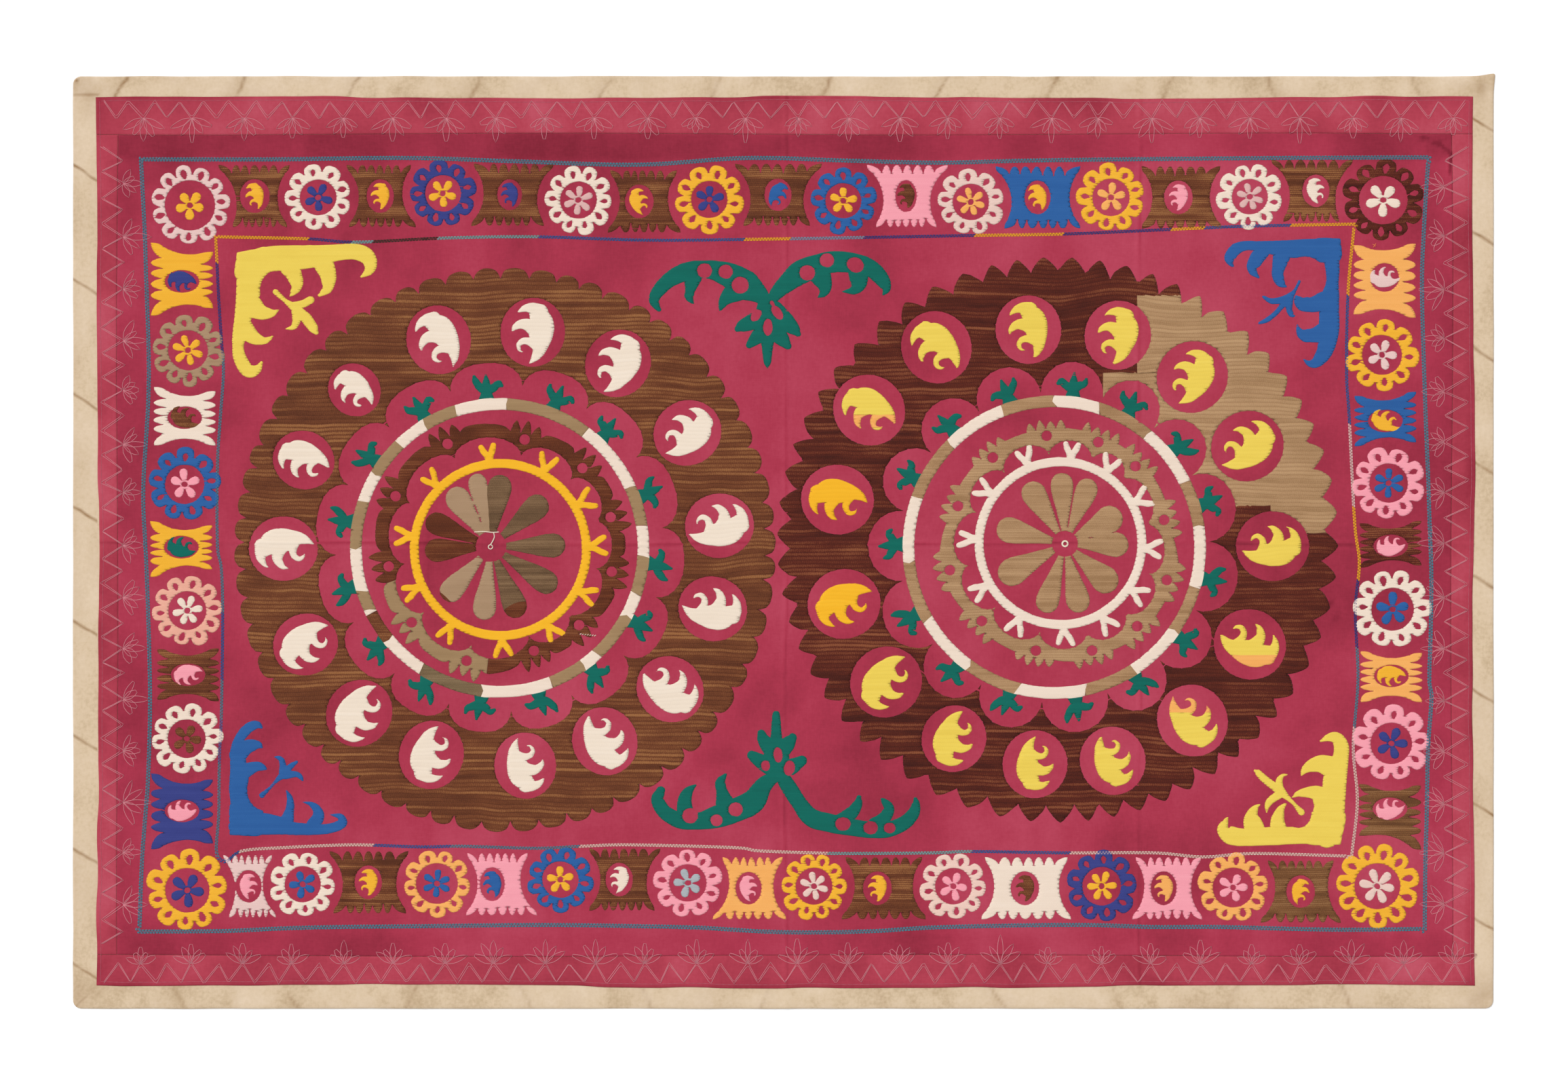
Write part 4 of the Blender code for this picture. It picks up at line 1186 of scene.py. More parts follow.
petalFlowers = {   # each petal: direction, reach, width, yarn
    "left": {"centre": (-438.0, -7.0), "disc": 22.5, "petals": [
        (125, 106, 38, "khakiLight"), (102, 112, 29, "khakiLight"), (81.5, 109, 37, "khakiDark"),
        (41, 110, 38, "khakiDark"), (1, 112, 37, "khakiDark"), (327, 117, 37, "khakiDark"),
        (292, 115, 37, "khakiDark"), (264, 111, 36, "khakiLight"), (228, 107, 36, "khakiLight"),
        (184, 100, 36, "ringBrown"), (157, 106, 35, "ringBrown")]},
    "right": {"centre": (422.0, -3.0), "disc": 19.0, "petals": [
        (122, 108, 38, "tan"), (93, 107, 35, "tan"), (68, 105, 34, "tan"), (29, 97, 42, "tan"),
        (359, 96, 38, "tan"), (318, 102, 42, "tan"), (283, 106, 37, "tan"), (253, 108, 36, "tan"),
        (208, 112, 43, "tan"), (166, 106, 40, "tan")]},
}


def petalFlower(row):
    # drop shaped petals with round ends, cut off by the bare disc in the middle
    layers = []
    for degrees, reach, width, yarn in row["petals"]:
        petal = [(0, 8, 6), (0, 0.3 * reach, 0.40 * width), (0, 0.52 * reach, 0.68 * width),
                 (0, 0.7 * reach, 0.92 * width), (0, reach - 0.5 * width, width)]
        layers.append(("fill", placed(stroke(petal, 5), row["centre"], degrees - 90), yarn))
    layers.append(("bare", oval(row["centre"], 2 * row["disc"], 2 * row["disc"], 0, 30), ""))
    return layers


for side in ("left", "right"):
    seed = 300 if side == "left" else 400
    stitchField(side + "Ring", ringSprigs(side, "green") + stripedRing(side), yarns,
                                  dict(ringLook, seed=seed))
    bandLayers = scallopedRing(scallopedRings[side])
    if side == "left":   # one side of the brown band is worked in tan
        centre = scallopedRings[side]["centre"]
        wedge = np.array([centre] + [polar(centre, 260, a) for a in np.linspace(197, 264, 12)])
        bandLayers.append(("tint", wedge, "ringTan"))
    stitchField(side + "ScallopedRing", bandLayers, yarns,
                                  dict(wheelLook, seed=seed + 20, rowGap=4.0, perRow=2, step=5.0,
                                       rowShade=0.14, longShade=0.2, bandShade=0.18, wave=1.5))
    stitchField(side + "InnerRing", forkedRing(innerRings[side]), yarns,
                                  dict(ringLook, seed=seed + 40))
    flowerLayers = petalFlower(petalFlowers[side])
    if side == "left":   # two petals end in dark brown
        for degrees in (292, 228):
            tip = oval(polar(petalFlowers[side]["centre"], 114, degrees), 64, 44 if degrees == 292 else 26,
                       degrees)
            flowerLayers.append(("tint", tip, "ringBrown"))
    stitchField(side + "Flower", flowerLayers, yarns, dict(ringLook, seed=seed + 60))


# Corner brackets
# strokes are (inwards along x, inwards along y, width) from the bracket's own corner

brackets = {
    "topLeft": {
        "corner": (-823.0, 440.8), "way": (1, -1), "yarn": "lemon",
        "block": [(4, 7), (4, 7), (30, 2), (50, 1), (50, 46), (3, 46)],
        "strokes": [
            [(22, 22, 36), (60, 16, 38), (105, 14, 36), (140, 9, 27), (165, 6, 24), (183, 7, 25),
             (197, 14, 24), (201, 26, 20), (197, 36, 13), (183, 46, 0)],
            [(22, 30, 36), (21, 65, 37), (14, 98, 27), (8, 130, 22), (6, 145, 18), (8.5, 162, 20),
             (20, 181, 21), (34, 179, 14), (43.5, 164, 0)],
            [(128, 15, 34), (138, 38, 26), (139, 50, 22), (136, 62, 15), (120, 74, 0)],
            [(78, 20, 36), (88, 40, 25), (92, 51, 21), (90, 62, 14), (76.5, 75.5, 0)],
            [(22, 84, 40), (40, 95, 24), (52, 96.5, 16), (60, 95, 9), (68, 89.5, 0)],
            [(14, 118, 30), (28, 132, 22), (42, 137, 13), (51, 135, 8), (59.6, 128, 0)],
        ],
        "bite": (60.6, 63, 44, 56),
        "sprig": [
            [(61, 65, 9), (75, 78, 7.5), (90, 89, 14)], [(85, 85, 10), (101, 83, 12), (113, 77, 12)],
            [(92, 90, 13), (107, 105, 17), (117, 119, 15), (121, 125, 8)],
            [(91, 91, 14), (92, 107, 13), (87, 117, 9), (75, 120, 1)],
        ],
    },
    "topRight": {
        "corner": (834.2, 456.0), "way": (-1, -1), "yarn": "blue",
        "block": [(-1, 1), (-1, 1), (40, 3), (42, 34), (0, 34)],
        "strokes": [
            [(10, 15, 24), (40, 15, 27), (75, 17, 27), (100, 15, 21), (120, 13, 16), (138, 12, 15),
             (153, 17, 18), (162.5, 29, 17), (161, 38, 10), (155, 45, 0)],
            [(14, 20, 28), (11, 50, 21), (11.5, 68, 20), (14, 85, 27), (16, 105, 30), (16, 130, 31),
             (18, 152, 28), (24, 170, 24), (34, 183, 18), (43, 186, 12), (50, 183, 6), (56, 177, 0)],
            [(112, 16, 24), (124, 33, 22), (129.5, 43, 17), (127, 52, 12), (116.5, 62, 0)],
            [(84, 20, 30), (90, 42, 21), (92, 54, 18), (88, 65, 16), (80, 70, 9), (73, 69, 0)],
            [(24, 94, 30), (42, 99, 23), (56, 97, 22), (62, 90, 13), (62.5, 79, 1)],
            [(22, 140, 34), (40, 144, 22), (52, 144, 20), (60, 138, 11), (64, 125, 0)],
        ],
        "bite": (51.8, 58, 61, 59),
        "sprig": [
            [(60, 65, 5), (66.6, 78, 6), (75, 89, 14)],
            [(74, 89, 13), (91, 93, 10.5), (102, 93.5, 9), (112, 88, 5), (115.5, 84, 0)],
            [(79, 93, 10), (94, 110.5, 8), (107.7, 121.6, 8), (119, 126.4, 4)],
            [(75.5, 92, 14), (75, 106, 10), (70.7, 114.5, 8), (66, 115.5, 1)],
        ],
    },
    "bottomLeft": {
        "corner": (-830.1, -439.7), "way": (1, 1), "yarn": "blue",
        "block": [(0, 0), (0, 0), (50, 1), (50, 36), (32, 55), (2, 50)],
        "strokes": [
            [(16, 20, 30), (15, 50, 28), (13, 70, 28), (15, 90, 29), (13, 108, 25), (12, 125, 22),
             (14, 140, 16), (22, 152, 16), (33, 161, 15), (43, 162, 11), (50.4, 156, 0)],
            [(10, 13, 24), (45, 17, 33), (75, 14, 27), (95, 10, 20), (115, 9, 18), (140, 9, 16),
             (158, 13, 15), (166, 20, 17), (162, 28, 10), (147, 30.5, 0)],
            [(12, 118, 26), (26, 130, 22), (37, 133, 17), (45, 132, 10), (50.4, 127, 0)],
            [(16, 92, 30), (30, 98, 20), (42, 101.5, 15), (51, 99, 9), (57, 93.5, 0)],
            [(122, 14, 20), (131, 27, 19), (129, 38, 14), (120, 46, 8), (106, 49.5, 0)],
            [(82, 14, 26), (88, 33, 16), (90, 48, 12), (88, 58, 8), (82, 70, 0)],
        ],
        "bite": (55, 66, 56, 60),
        "sprig": [
            [(48, 59, 9), (60, 70, 5), (71, 82, 7), (80, 90, 14)],
            [(79, 91, 13), (78.5, 107, 10), (73, 114, 7), (63.5, 115.5, 0)],
            [(82, 93, 12), (91.6, 102.6, 9), (99.4, 108, 5)],
            [(83, 89, 14), (99, 90, 9), (106, 84.5, 7), (109, 78, 0)],
        ],
    },
    "bottomRight": {
        "corner": (835.2, -454.0), "way": (-1, 1), "yarn": "lemon",
        "block": [(0, 0), (0, 0), (50, 1), (60, 26), (44, 48), (-6, 50)],
        "strokes": [
            [(20, 14, 38), (18, 45, 48), (10, 75, 36), (9, 92, 36), (5, 112, 32), (0, 130, 24), (-1, 145, 23),
             (6, 157, 19), (18, 158, 12), (34.5, 150.5, 0)],
            [(12, 14, 28), (60, 14, 26), (100, 13, 28), (140, 11, 26), (162, 14, 28), (173, 23, 20),
             (170, 34, 10), (165, 43.5, 0)],
            [(8, 112, 34), (28, 119, 28), (44, 116, 19), (54, 109, 11), (59, 99, 0)],
            [(20, 62, 44), (36, 76, 24), (52, 77, 15), (64, 74.5, 9), (73.5, 68.5, 0)],
            [(124, 14, 32), (130, 34, 28), (130, 46, 18), (124, 56, 8), (116.5, 60.5, 0)],
            [(90, 14, 28), (93, 34, 22), (90, 48, 15), (85, 57, 8), (78, 62.5, 0)],
        ],
        "bite": (62.4, 48, 38.5, 45.5),
        "sprig": [
            [(58, 48, 11), (68.6, 60.3, 6), (76.8, 67.9, 8), (89, 79.5, 15)],
            [(90, 80, 13), (111, 96, 12), (122, 106.3, 10), (126, 109, 5)],
            [(90, 82, 13), (90.5, 94.6, 11), (85, 102.2, 6), (75.4, 104, 0)],
            [(88, 76, 13), (102.8, 66, 12), (108.3, 57.6, 9), (109, 48, 3)],
        ],
    },
}
drawnSize = 1.017   # the drawings are a little smaller than the cloth


def bracketLayers(row):
    sx, sy = row["way"][0] * drawnSize, row["way"][1] * drawnSize
    layers = [("fill", placed(smoothLoop(row["block"], 4), row["corner"], 0, sx, sy), row["yarn"])]
    for points in row["strokes"]:
        layers.append(("fill", placed(stroke(points), row["corner"], 0, sx, sy), row["yarn"]))
    bx, by, width, height = row["bite"]
    layers.append(("bare", placed(oval((bx, by), width, height, 90), row["corner"], 0, sx, sy), ""))
    for points in row["sprig"]:
        layers.append(("fill", placed(stroke(points), row["corner"], 0, sx, sy), row["yarn"]))
    return layers


smallLook = {"rowGap": 2.4, "step": 5.0, "height": 0.55, "ridge": 0.08, "wave": 0.8, "waveLength": 80.0,
             "rowShade": 0.12, "longShade": 0.16, "bandShade": 0.12, "grooveShade": -0.05}
for i, (name, row) in enumerate(brackets.items()):
    stitchField(name + "Bracket", bracketLayers(row), yarns,
                                  dict(smallLook, seed=500 + 10 * i))


# Vine sprays between the wheels

vines = {
    "top": {
        "root": (-23.9, 362.5),
        "strokes": [
            [(2, -8, 14), (-12, 8, 28), (-30, 20, 44), (-48, 32, 40), (-66, 40, 34), (-90, 45, 27),
             (-118, 42, 28), (-142, 31, 24), (-160, 14, 20), (-167, -1, 16), (-160, -14, 8)],
            [(-46, 14, 36), (-60, 3, 22), (-67, -8, 12), (-71, -19, 0)],
            [(-110, 32, 28), (-114, 14, 16), (-115, 4, 14), (-108.5, -6.5, 2)],
            [(2, -8, 14), (12, 8, 20), (28, 24, 28), (48, 40, 36), (72, 50, 34), (98, 56, 32), (128, 54, 30),
             (150, 48, 26), (166, 34, 24), (175, 18, 16), (170, 6, 2)],
            [(76, 40, 36), (84, 22, 24), (82, 10, 14), (72.5, 2.5, 0)],
            [(134, 40, 30), (134, 24, 26), (126, 14, 14), (108.5, 12, 0)],
            [(0, -14, 34), (0, -36, 44), (0, -60, 22), (0, -80, 15), (0, -92, 12), (0, -101, 2)],
            [(-8, -24, 26), (-24, -33, 24), (-38, -39, 18), (-44, -43, 10)],
            [(-6, -46, 26), (-18, -58, 20), (-26, -66, 12)],
            [(8, -44, 26), (22, -58, 22), (30, -68, 12)],
            [(10, -12, 24), (28, -32, 26), (40, -44, 18), (45, -50, 10)],
        ],
        "holes": [(-92.5, 43, 21, 21, 0), (-61.4, 41.5, 20, 20, 0), (-40, 21.6, 24, 24, 0),
                  (58.7, 39.8, 22, 22, 0), (87.8, 58.5, 20, 20, 0), (129.6, 51.5, 25, 21, 60),
                  (-16.7, -22.9, 12, 19, 52), (0.7, -40.3, 13, 24, 90), (14.4, -18.7, 12, 23, 125),
                  (7.5, -5.5, 5, 9, 120)],
    },
    "bottom": {
        "root": (-12.7, -350.3),
        "strokes": [
            [(4, 2, 16), (-16, -14, 26), (-32, -38, 36), (-56, -50, 36), (-84, -60, 34), (-112, -67, 26),
             (-140, -66, 24), (-162, -54, 22), (-173, -36, 20), (-168, -22, 14)],
            [(-72, -46, 34), (-78, -24, 18), (-80, -10, 16), (-73, 1, 6)],
            [(-132, -58, 26), (-133, -38, 22), (-128, -24, 16), (-117, -14, 4)],
            [(6, 6, 18), (20, -16, 24), (37, -42, 24), (54, -62, 28), (82, -70, 28), (112, -76, 26),
             (142, -80, 25), (168, -79, 24), (190, -70, 22), (204, -56, 19), (208, -42, 13), (207, -34, 6)],
            [(98, -68, 26), (114, -54, 20), (122, -42, 15), (124, -32, 8)],
            [(148, -74, 26), (162, -62, 20), (168, -48, 17), (160, -37, 9), (155, -32, 0)],
            [(2, 8, 30), (2, 28, 40), (2, 52, 20), (2, 75, 15), (2, 90, 12)],
            [(-4, 36, 26), (-16, 52, 20), (-20, 62, 13)],
            [(8, 34, 26), (20, 48, 22), (26, 56, 14)], [(-6, 12, 26), (-22, 22, 22), (-34, 30, 15)],
            [(8, 6, 26), (26, 14, 24), (40, 22, 16)],
        ],
        "holes": [(-124.8, -59, 22, 22, 0), (-86, -65.7, 17, 17, 0), (-57.7, -49.7, 20, 20, 0),
                  (100.4, -71.3, 22, 19, 90), (141.2, -76.8, 20, 19, 90), (169.2, -77.1, 16, 15, 90),
                  (4.7, 30.5, 12, 22, 95), (-13.6, 14.7, 12, 15, 100), (21.4, 11.1, 15, 22, 80)],
    },
}
for i, (name, row) in enumerate(vines.items()):
    layers = [("fill", placed(stroke(points), row["root"], 0, drawnSize), "green")
              for points in row["strokes"]]
    layers += [("bare", placed(oval((x, y), width, height, turn, 20), row["root"], 0, drawnSize), "")
               for x, y, width, height, turn in row["holes"]]
    stitchField(name + "Vine", layers, yarns, dict(smallLook, seed=600 + 10 * i))


# Border: rosettes and cartouches

rosettes = [   # x, y, radius, ring yarn, flower yarn, lobes, petals
    (-889, 504, 60, "lilac", "yellow", 11, 5), (-697, 516, 51, "white", "darkBlue", 9, 5),
    (-510, 522, 51, "darkBlue", "yellow", 9, 5), (-307, 512, 52, "white", "pinkLilac", 10, 6),
    (-111, 513, 52, "yellow", "darkBlue", 9, 5), (90, 511, 50, "blue", "yellow", 9, 5),
    (281, 509, 51, "pinkishWhite", "lightOrange", 9, 6), (491, 516, 52, "yellow", "lightOrange", 9, 5),
    (699, 517, 50, "white", "pinkLilac", 9, 6), (899, 512, 62, "darkBrown", "white", 10, 5),
    (-893, -522, 62, "yellow", "darkBlue", 10, 5), (-720, -513, 50, "white", "blue", 9, 5),
    (-519, -512, 51, "lightOrange", "blue", 9, 6), (-334, -506, 50, "blue", "yellow", 9, 5),
    (-143, -511, 52, "pink", "greyBlue", 9, 5), (46, -516, 51, "yellow", "pinkishWhite", 10, 6),
    (255, -516, 51, "palePink", "pink", 9, 5), (477, -516, 54, "darkBlue", "yellow", 9, 6),
    (674, -518, 53, "lightOrange", "pink", 9, 5), (890, -516, 64, "yellow", "pinkishWhite", 11, 6),
    (-892, 287, 55, "khakiLight", "yellow", 10, 6), (-897, 86, 55, "blue", "pink", 9, 5),
    (-893, -103, 54, "salmon", "white", 10, 6), (-894, -295, 54, "white", "brown", 10, 5),
    (897, 280, 55, "yellow", "lilac", 9, 5), (907, 88, 55, "pink", "blue", 9, 6),
    (913, -101, 60, "white", "blue", 10, 5), (911, -302, 58, "pink", "darkBlue", 9, 5),
]
cartouches = [   # x, y, lie, yarn, leaf yarn, width and height of the oval opening
    (-792, 518, "row", "brown", "yellow", 44, 50), (-604, 518, "row", "brown", "yellow", 40, 50),
    (-410, 520, "row", "brown", "darkBlue", 36, 46), (-216, 510, "row", "brown", "yellow", 42, 50),
    (-8, 520, "row", "brown", "blue", 40, 48), (184, 518, "row", "pink", "brown", 31, 47),
    (381, 516, "row", "blue", "yellow", 38, 50), (592, 516, "row", "brown", "pink", 42, 50),
    (798, 526, "row", "brown", "white", 40, 48),
    (-801, -516, "row", "lilac", "pink", 38, 48), (-622, -510, "row", "brown", "yellow", 40, 50),
    (-436, -513, "row", "pink", "blue", 36, 50), (-246, -506, "row", "brown", "white", 40, 50),
    (-52, -519, "row", "lightOrange", "pink", 38, 48), (141, -519, "row", "brown", "yellow", 42, 50),
    (362, -519, "row", "white", "brown", 42, 50), (570, -519, "row", "pink", "lightOrange", 38, 50),
    (775, -524, "row", "oliveBrown", "yellow", 42, 48),
    (-901, 390, "side", "yellow", "darkBlue", 51, 33), (-897, 186, "side", "white", "brown", 51, 33),
    (-902, -8, "side", "yellow", "green", 51, 33), (-892, -199, "side", "brown", "pink", 51, 33),
    (-901, -403, "side", "darkBlue", "pink", 51, 33),
    (901, 396, "side", "lightOrange", "lilac", 42, 42), (902, 181, "side", "blue", "yellow", 51, 33),
    (910, -6, "side", "darkBrown", "pink", 51, 33), (911, -201, "side", "lightOrange", "yellow", 51, 33),
    (909, -400, "side", "oliveBrown", "pink", 51, 33),
]
borderShape = {"discShare": 0.53, "holeWidth": 7.0, "holeLength": 11.5, "cuspShare": 0.77,
               "armReach": 9.5, "sideReach": 13.0, "rowHorn": 0.88, "sideHorn": 0.75, "halfHeight": 47.0,
               "toothDepth": 11.0, "rowTeeth": 7, "sideTeeth": 6, "sideDepth": 14.0,
               "leafSize": 0.46, "sideLeaf": 0.5, "flowerShare": 0.42, "smallFlowers": {(-889, 504): 0.37},
               "wideDiscs": {(-889, 504): 0.62, (899, 512): 0.58, (-519, -512): 0.59, (674, -518): 0.57}}


def rosetteLayers(x, y, radius, yarn, flower, lobes, petals):
    rng = np.random.default_rng(abs(int(x * 7 + y * 13)))
    start = rng.uniform(0, 360)
    outline, layers = [], []
    stops = start + np.cumsum(np.concatenate([[0], 1 + 0.12 * rng.uniform(-1, 1, lobes)]))
    stops = start + (stops - start) / (stops[-1] - start) * 360
    for a, b in zip(stops, stops[1:]):
        reach = radius * (1 + 0.04 * rng.uniform(-1, 1))
        for u in np.linspace(-1, 1, 9)[:-1]:
            rise = (1 - abs(u) ** 2.2) ** 0.5
            outline.append(polar((x, y), radius * borderShape["cuspShare"]
                                 + (reach - radius * borderShape["cuspShare"]) * rise,
                                 (a + b) / 2 + u * (b - a) / 2))
    layers.append(("fill", np.array(outline), yarn))
    disc = radius * borderShape["wideDiscs"].get((x, y), borderShape["discShare"])
    layers.append(("bare", oval((x, y), 2 * disc * rng.uniform(0.97, 1.03), 2 * disc, rng.uniform(0, 180),
                                34), ""))
    for a, b in zip(stops, stops[1:]):
        turn = (a + b) / 2
        centre = polar((x, y), (disc + radius) / 2 - 0.03 * radius, turn)
        size = rng.uniform(0.85, 1.15) * radius / 52
        tear = [(0, -0.5 * borderShape["holeLength"]),
                (0.5 * borderShape["holeWidth"], 0.1 * borderShape["holeLength"]),
                (0, 0.5 * borderShape["holeLength"]),
                (-0.5 * borderShape["holeWidth"], 0.1 * borderShape["holeLength"])]
        layers.append(("bare", placed(smoothLoop(tear, 3), centre, turn - 90 + rng.uniform(-12, 12), size),
                       ""))
    tilt = rng.uniform(0, 360)
    share = borderShape["smallFlowers"].get((x, y), borderShape["flowerShare"])
    for i in range(petals):
        turn = tilt + i * 360 / petals + rng.uniform(-5, 5)
        reach = radius * share * rng.uniform(0.97, 1.07)
        width = radius * (0.24 if petals == 5 else 0.21)
        petal = [(0, 3.5, 4.5), (0, 0.3 * reach, 0.62 * width), (0, 0.52 * reach, 0.9 * width),
                 (0, reach - 0.5 * width, width)]
        layers.append(("fill", placed(stroke(petal, 4), (x, y), turn - 90), flower))
    layers.append(("fill", oval((x, y), 15, 15, 0, 14), flower))
    layers.append(("bare", oval((x, y), 7.5, 8.5, rng.uniform(0, 180), 12), ""))
    return layers


def toothedEdge(start, stop, outward, teeth, depth, rng):
    # rounded teeth from the point of one horn to the other; the end ones are half teeth
    start, stop = np.array(start, float), np.array(stop, float)
    widths = np.array([1.35] + [1.0] * (teeth - 2) + [1.35]) * (1 + 0.14 * rng.uniform(-1, 1, teeth))
    marks = np.concatenate([[0], np.cumsum(widths)]) / widths.sum()
    points = []
    for i, (a, b) in enumerate(zip(marks, marks[1:])):
        notch = depth * (1 + 0.2 * rng.uniform(-1, 1))
        for u in np.linspace(0, 1, 9)[:-1]:
            t = a + u * (b - a)
            place = u if i == 0 else (u - 1 if i == teeth - 1 else 2 * u - 1)
            rise = (1 - abs(place) ** 1.9) ** 0.72
            bow = 4 * t * (1 - t)
            points.append(start + (stop - start) * t
                          - np.array(outward) * (notch * (1 - rise) + 1.5 * bow * (1 - rise)))
    return points


def cartoucheLayers(x, y, lie, yarn, leaf, width, height):
    rng = np.random.default_rng(abs(int(x * 11 + y * 5)))
    across = lie == "row"
    rank = [r for r in rosettes if abs((r[1] - y) if across else (r[0] - x)) < 60]
    places = sorted((r[0] - x if across else r[1] - y, r[2], (r[1] - y) if across else (r[0] - x))
                    for r in rank)
    before = max((p for p in places if p[0] < 0), key=lambda p: p[0])
    after = min((p for p in places if p[0] > 0), key=lambda p: p[0])
    high = borderShape["halfHeight"]

    def sideArc(neighbour, sign):
        # hollow side that keeps clear of the rosette beside it, up to the points of the horns
        distance, radius, drift = neighbour
        reach = radius + borderShape["armReach" if across else "sideReach"]
        horn = high * borderShape["rowHorn" if across else "sideHorn"]
        points = []
        for t in np.linspace(-1, 1, 15):
            v = t * high
            bulge = math.sqrt(max(reach ** 2 - (min(max(v, -horn), horn) - drift) ** 2, 0.0))
            points.append((distance - sign * bulge, v))
        return points

    right, left = sideArc(after, 1), sideArc(before, -1)
    teeth, depth = (borderShape[k]
                    for k in (("rowTeeth", "toothDepth") if across else ("sideTeeth", "sideDepth")))
    loop = right[:-1] + toothedEdge(right[-1], left[-1], (0, 1), teeth, depth, rng)
    loop += left[::-1][:-1] + toothedEdge(left[0], right[0], (0, -1), teeth, depth, rng)
    loop = np.array([np.array(p, float) for p in loop])
    if not across:
        loop = loop[:, ::-1][::-1]
    layers = [("fill", loop + (x, y), yarn), ("bare", oval((x, y), width, height, 90, 28), "")]
    turn, flip = rng.uniform(-25, 25) + (0 if across else 90), rng.choice((-1, 1))
    size = borderShape["leafSize"] * height / 50 if across else borderShape["sideLeaf"]
    for points in leafStrokes:
        layers.append(("fill", placed(stroke(points, 4), (x, y), turn, flip * size, size), leaf))
    return layers


borderLook = dict(smallLook, rowGap=2.6, step=5.5, rowShade=0.12, longShade=0.18, bandShade=0.14)
brownLook = dict(smallLook, rowGap=3.2, step=6.0, rowShade=0.2, longShade=0.22, bandShade=0.2, ridge=0.16,
                 wave=1.2)
for name, group, seed in (("topRosettes", rosettes[:10], 700), ("bottomRosettes", rosettes[10:20], 710),
                          ("leftRosettes", rosettes[20:24], 720), ("rightRosettes", rosettes[24:], 730)):
    layers = [layer for row in group for layer in rosetteLayers(*row)]
    stitchField(name, layers, yarns, dict(borderLook, seed=seed))
brownYarns = ("brown", "darkBrown", "oliveBrown")
for name, group, seed in (("topCartouches", cartouches[:9], 740), ("bottomCartouches", cartouches[9:18], 750),
                          ("leftCartouches", cartouches[18:23], 760),
                          ("rightCartouches", cartouches[23:], 770)):
    for kind, look in (("Brown", brownLook), ("", borderLook)):
        members = [row for row in group if (row[3] in brownYarns) == (kind == "Brown")]
        layers = [layer for row in members for layer in cartoucheLayers(*row)]
        if layers:
            stitchField(name + kind, layers, yarns, dict(look, seed=seed))


# Chain stitched lines

chainLines = {
    "outer": {"width": 6.4, "rows": 2, "link": 4.6, "height": 1.0, "wander": 0.5,
        "path": [(-962.5, 573), (-760, 573), (-564, 575), (-400, 570), (-218, 565), (-55, 575), (100, 571),
                 (229, 568), (360, 571), (504, 573), (740, 575), (966.5, 576), (966.5, 576), (960, 471),
                 (957, 375), (962, 201), (966, 100), (968, 39), (971, -52), (970, -134), (968, -205),
                 (971, -235), (966, -312), (964, -411), (962, -480), (961, -580), (961, -580), (819, -581),
                 (656, -577), (555, -577), (454, -574), (331, -575), (219, -578), (140, -583), (57, -585),
                 (-25, -584), (-127, -578), (-208, -576), (-360, -574), (-558, -576), (-665, -577),
                 (-748, -579), (-838, -583), (-965, -584), (-965, -584), (-961, -479), (-956, -411),
                 (-952, -357), (-949, -256), (-950, -164), (-954, -42), (-956, -2), (-959, 80), (-952, 202),
                 (-951, 283), (-955, 405), (-957, 466), (-962.5, 573), (-962.5, 573)],
        "colours": [("teal", 1.0)]},
    "inner": {"width": 4.6, "rows": 2, "link": 4.6, "height": 0.85, "wander": 0.4,
        "path": [(-850.5, 457), (-714, 454), (-640, 449), (-510, 455), (-371, 457), (-208, 452), (-61, 453),
                 (120, 456), (285, 459), (417, 461), (580, 468), (700, 473), (855.5, 476), (855.5, 476),
                 (846, 371), (844, 253), (848, 184), (856, 29), (863, -32), (857, -103), (861, -205),
                 (854, -307), (860, -388), (851.5, -471), (851.5, -471), (706, -467), (629, -472),
                 (555, -466), (426, -466), (285, -464), (222, -466), (98, -467), (46, -466), (-35, -463),
                 (-76, -458), (-228, -454), (-302, -456), (-371, -459), (-482, -456), (-543, -457),
                 (-645, -454), (-747, -458), (-810, -463), (-835, -478), (-849, -464), (-846, -408),
                 (-845, -327), (-842, -256), (-840, -113), (-842, -42), (-848, -2), (-848, 110), (-844, 181),
                 (-839, 253), (-842, 303), (-846, 364), (-850.5, 457), (-850.5, 457)],
        "colours": [   # share of the whole line where each colour ends
            ("golden", 0.026), ("darkBlue", 0.038), ("lightTeal", 0.044), ("nearBlack", 0.0625),
            ("lightTeal", 0.0905), ("blue", 0.149), ("golden", 0.162), ("steelBlue", 0.183),
            ("darkBlue", 0.2145), ("golden", 0.2395), ("darkBlue", 0.27), ("golden", 0.2795), ("blue", 0.304),
            ("golden", 0.342), ("blue", 0.378), ("lilac", 0.4015), ("golden", 0.4225), ("darkBlue", 0.4415),
            ("teal", 0.464), ("lilac", 0.476), ("pinkishWhite", 0.5), ("pinkishWhite", 0.581),
            ("blue", 0.609), ("lightTeal", 0.6495), ("pinkishWhite", 0.72), ("teal", 0.756), ("blue", 0.7785),
            ("pinkishWhite", 0.816), ("blue", 0.823), ("teal", 0.85), ("violet", 0.862), ("teal", 0.874),
            ("blue", 0.893), ("teal", 0.966), ("darkBlue", 0.992), ("golden", 1.0)]},
}


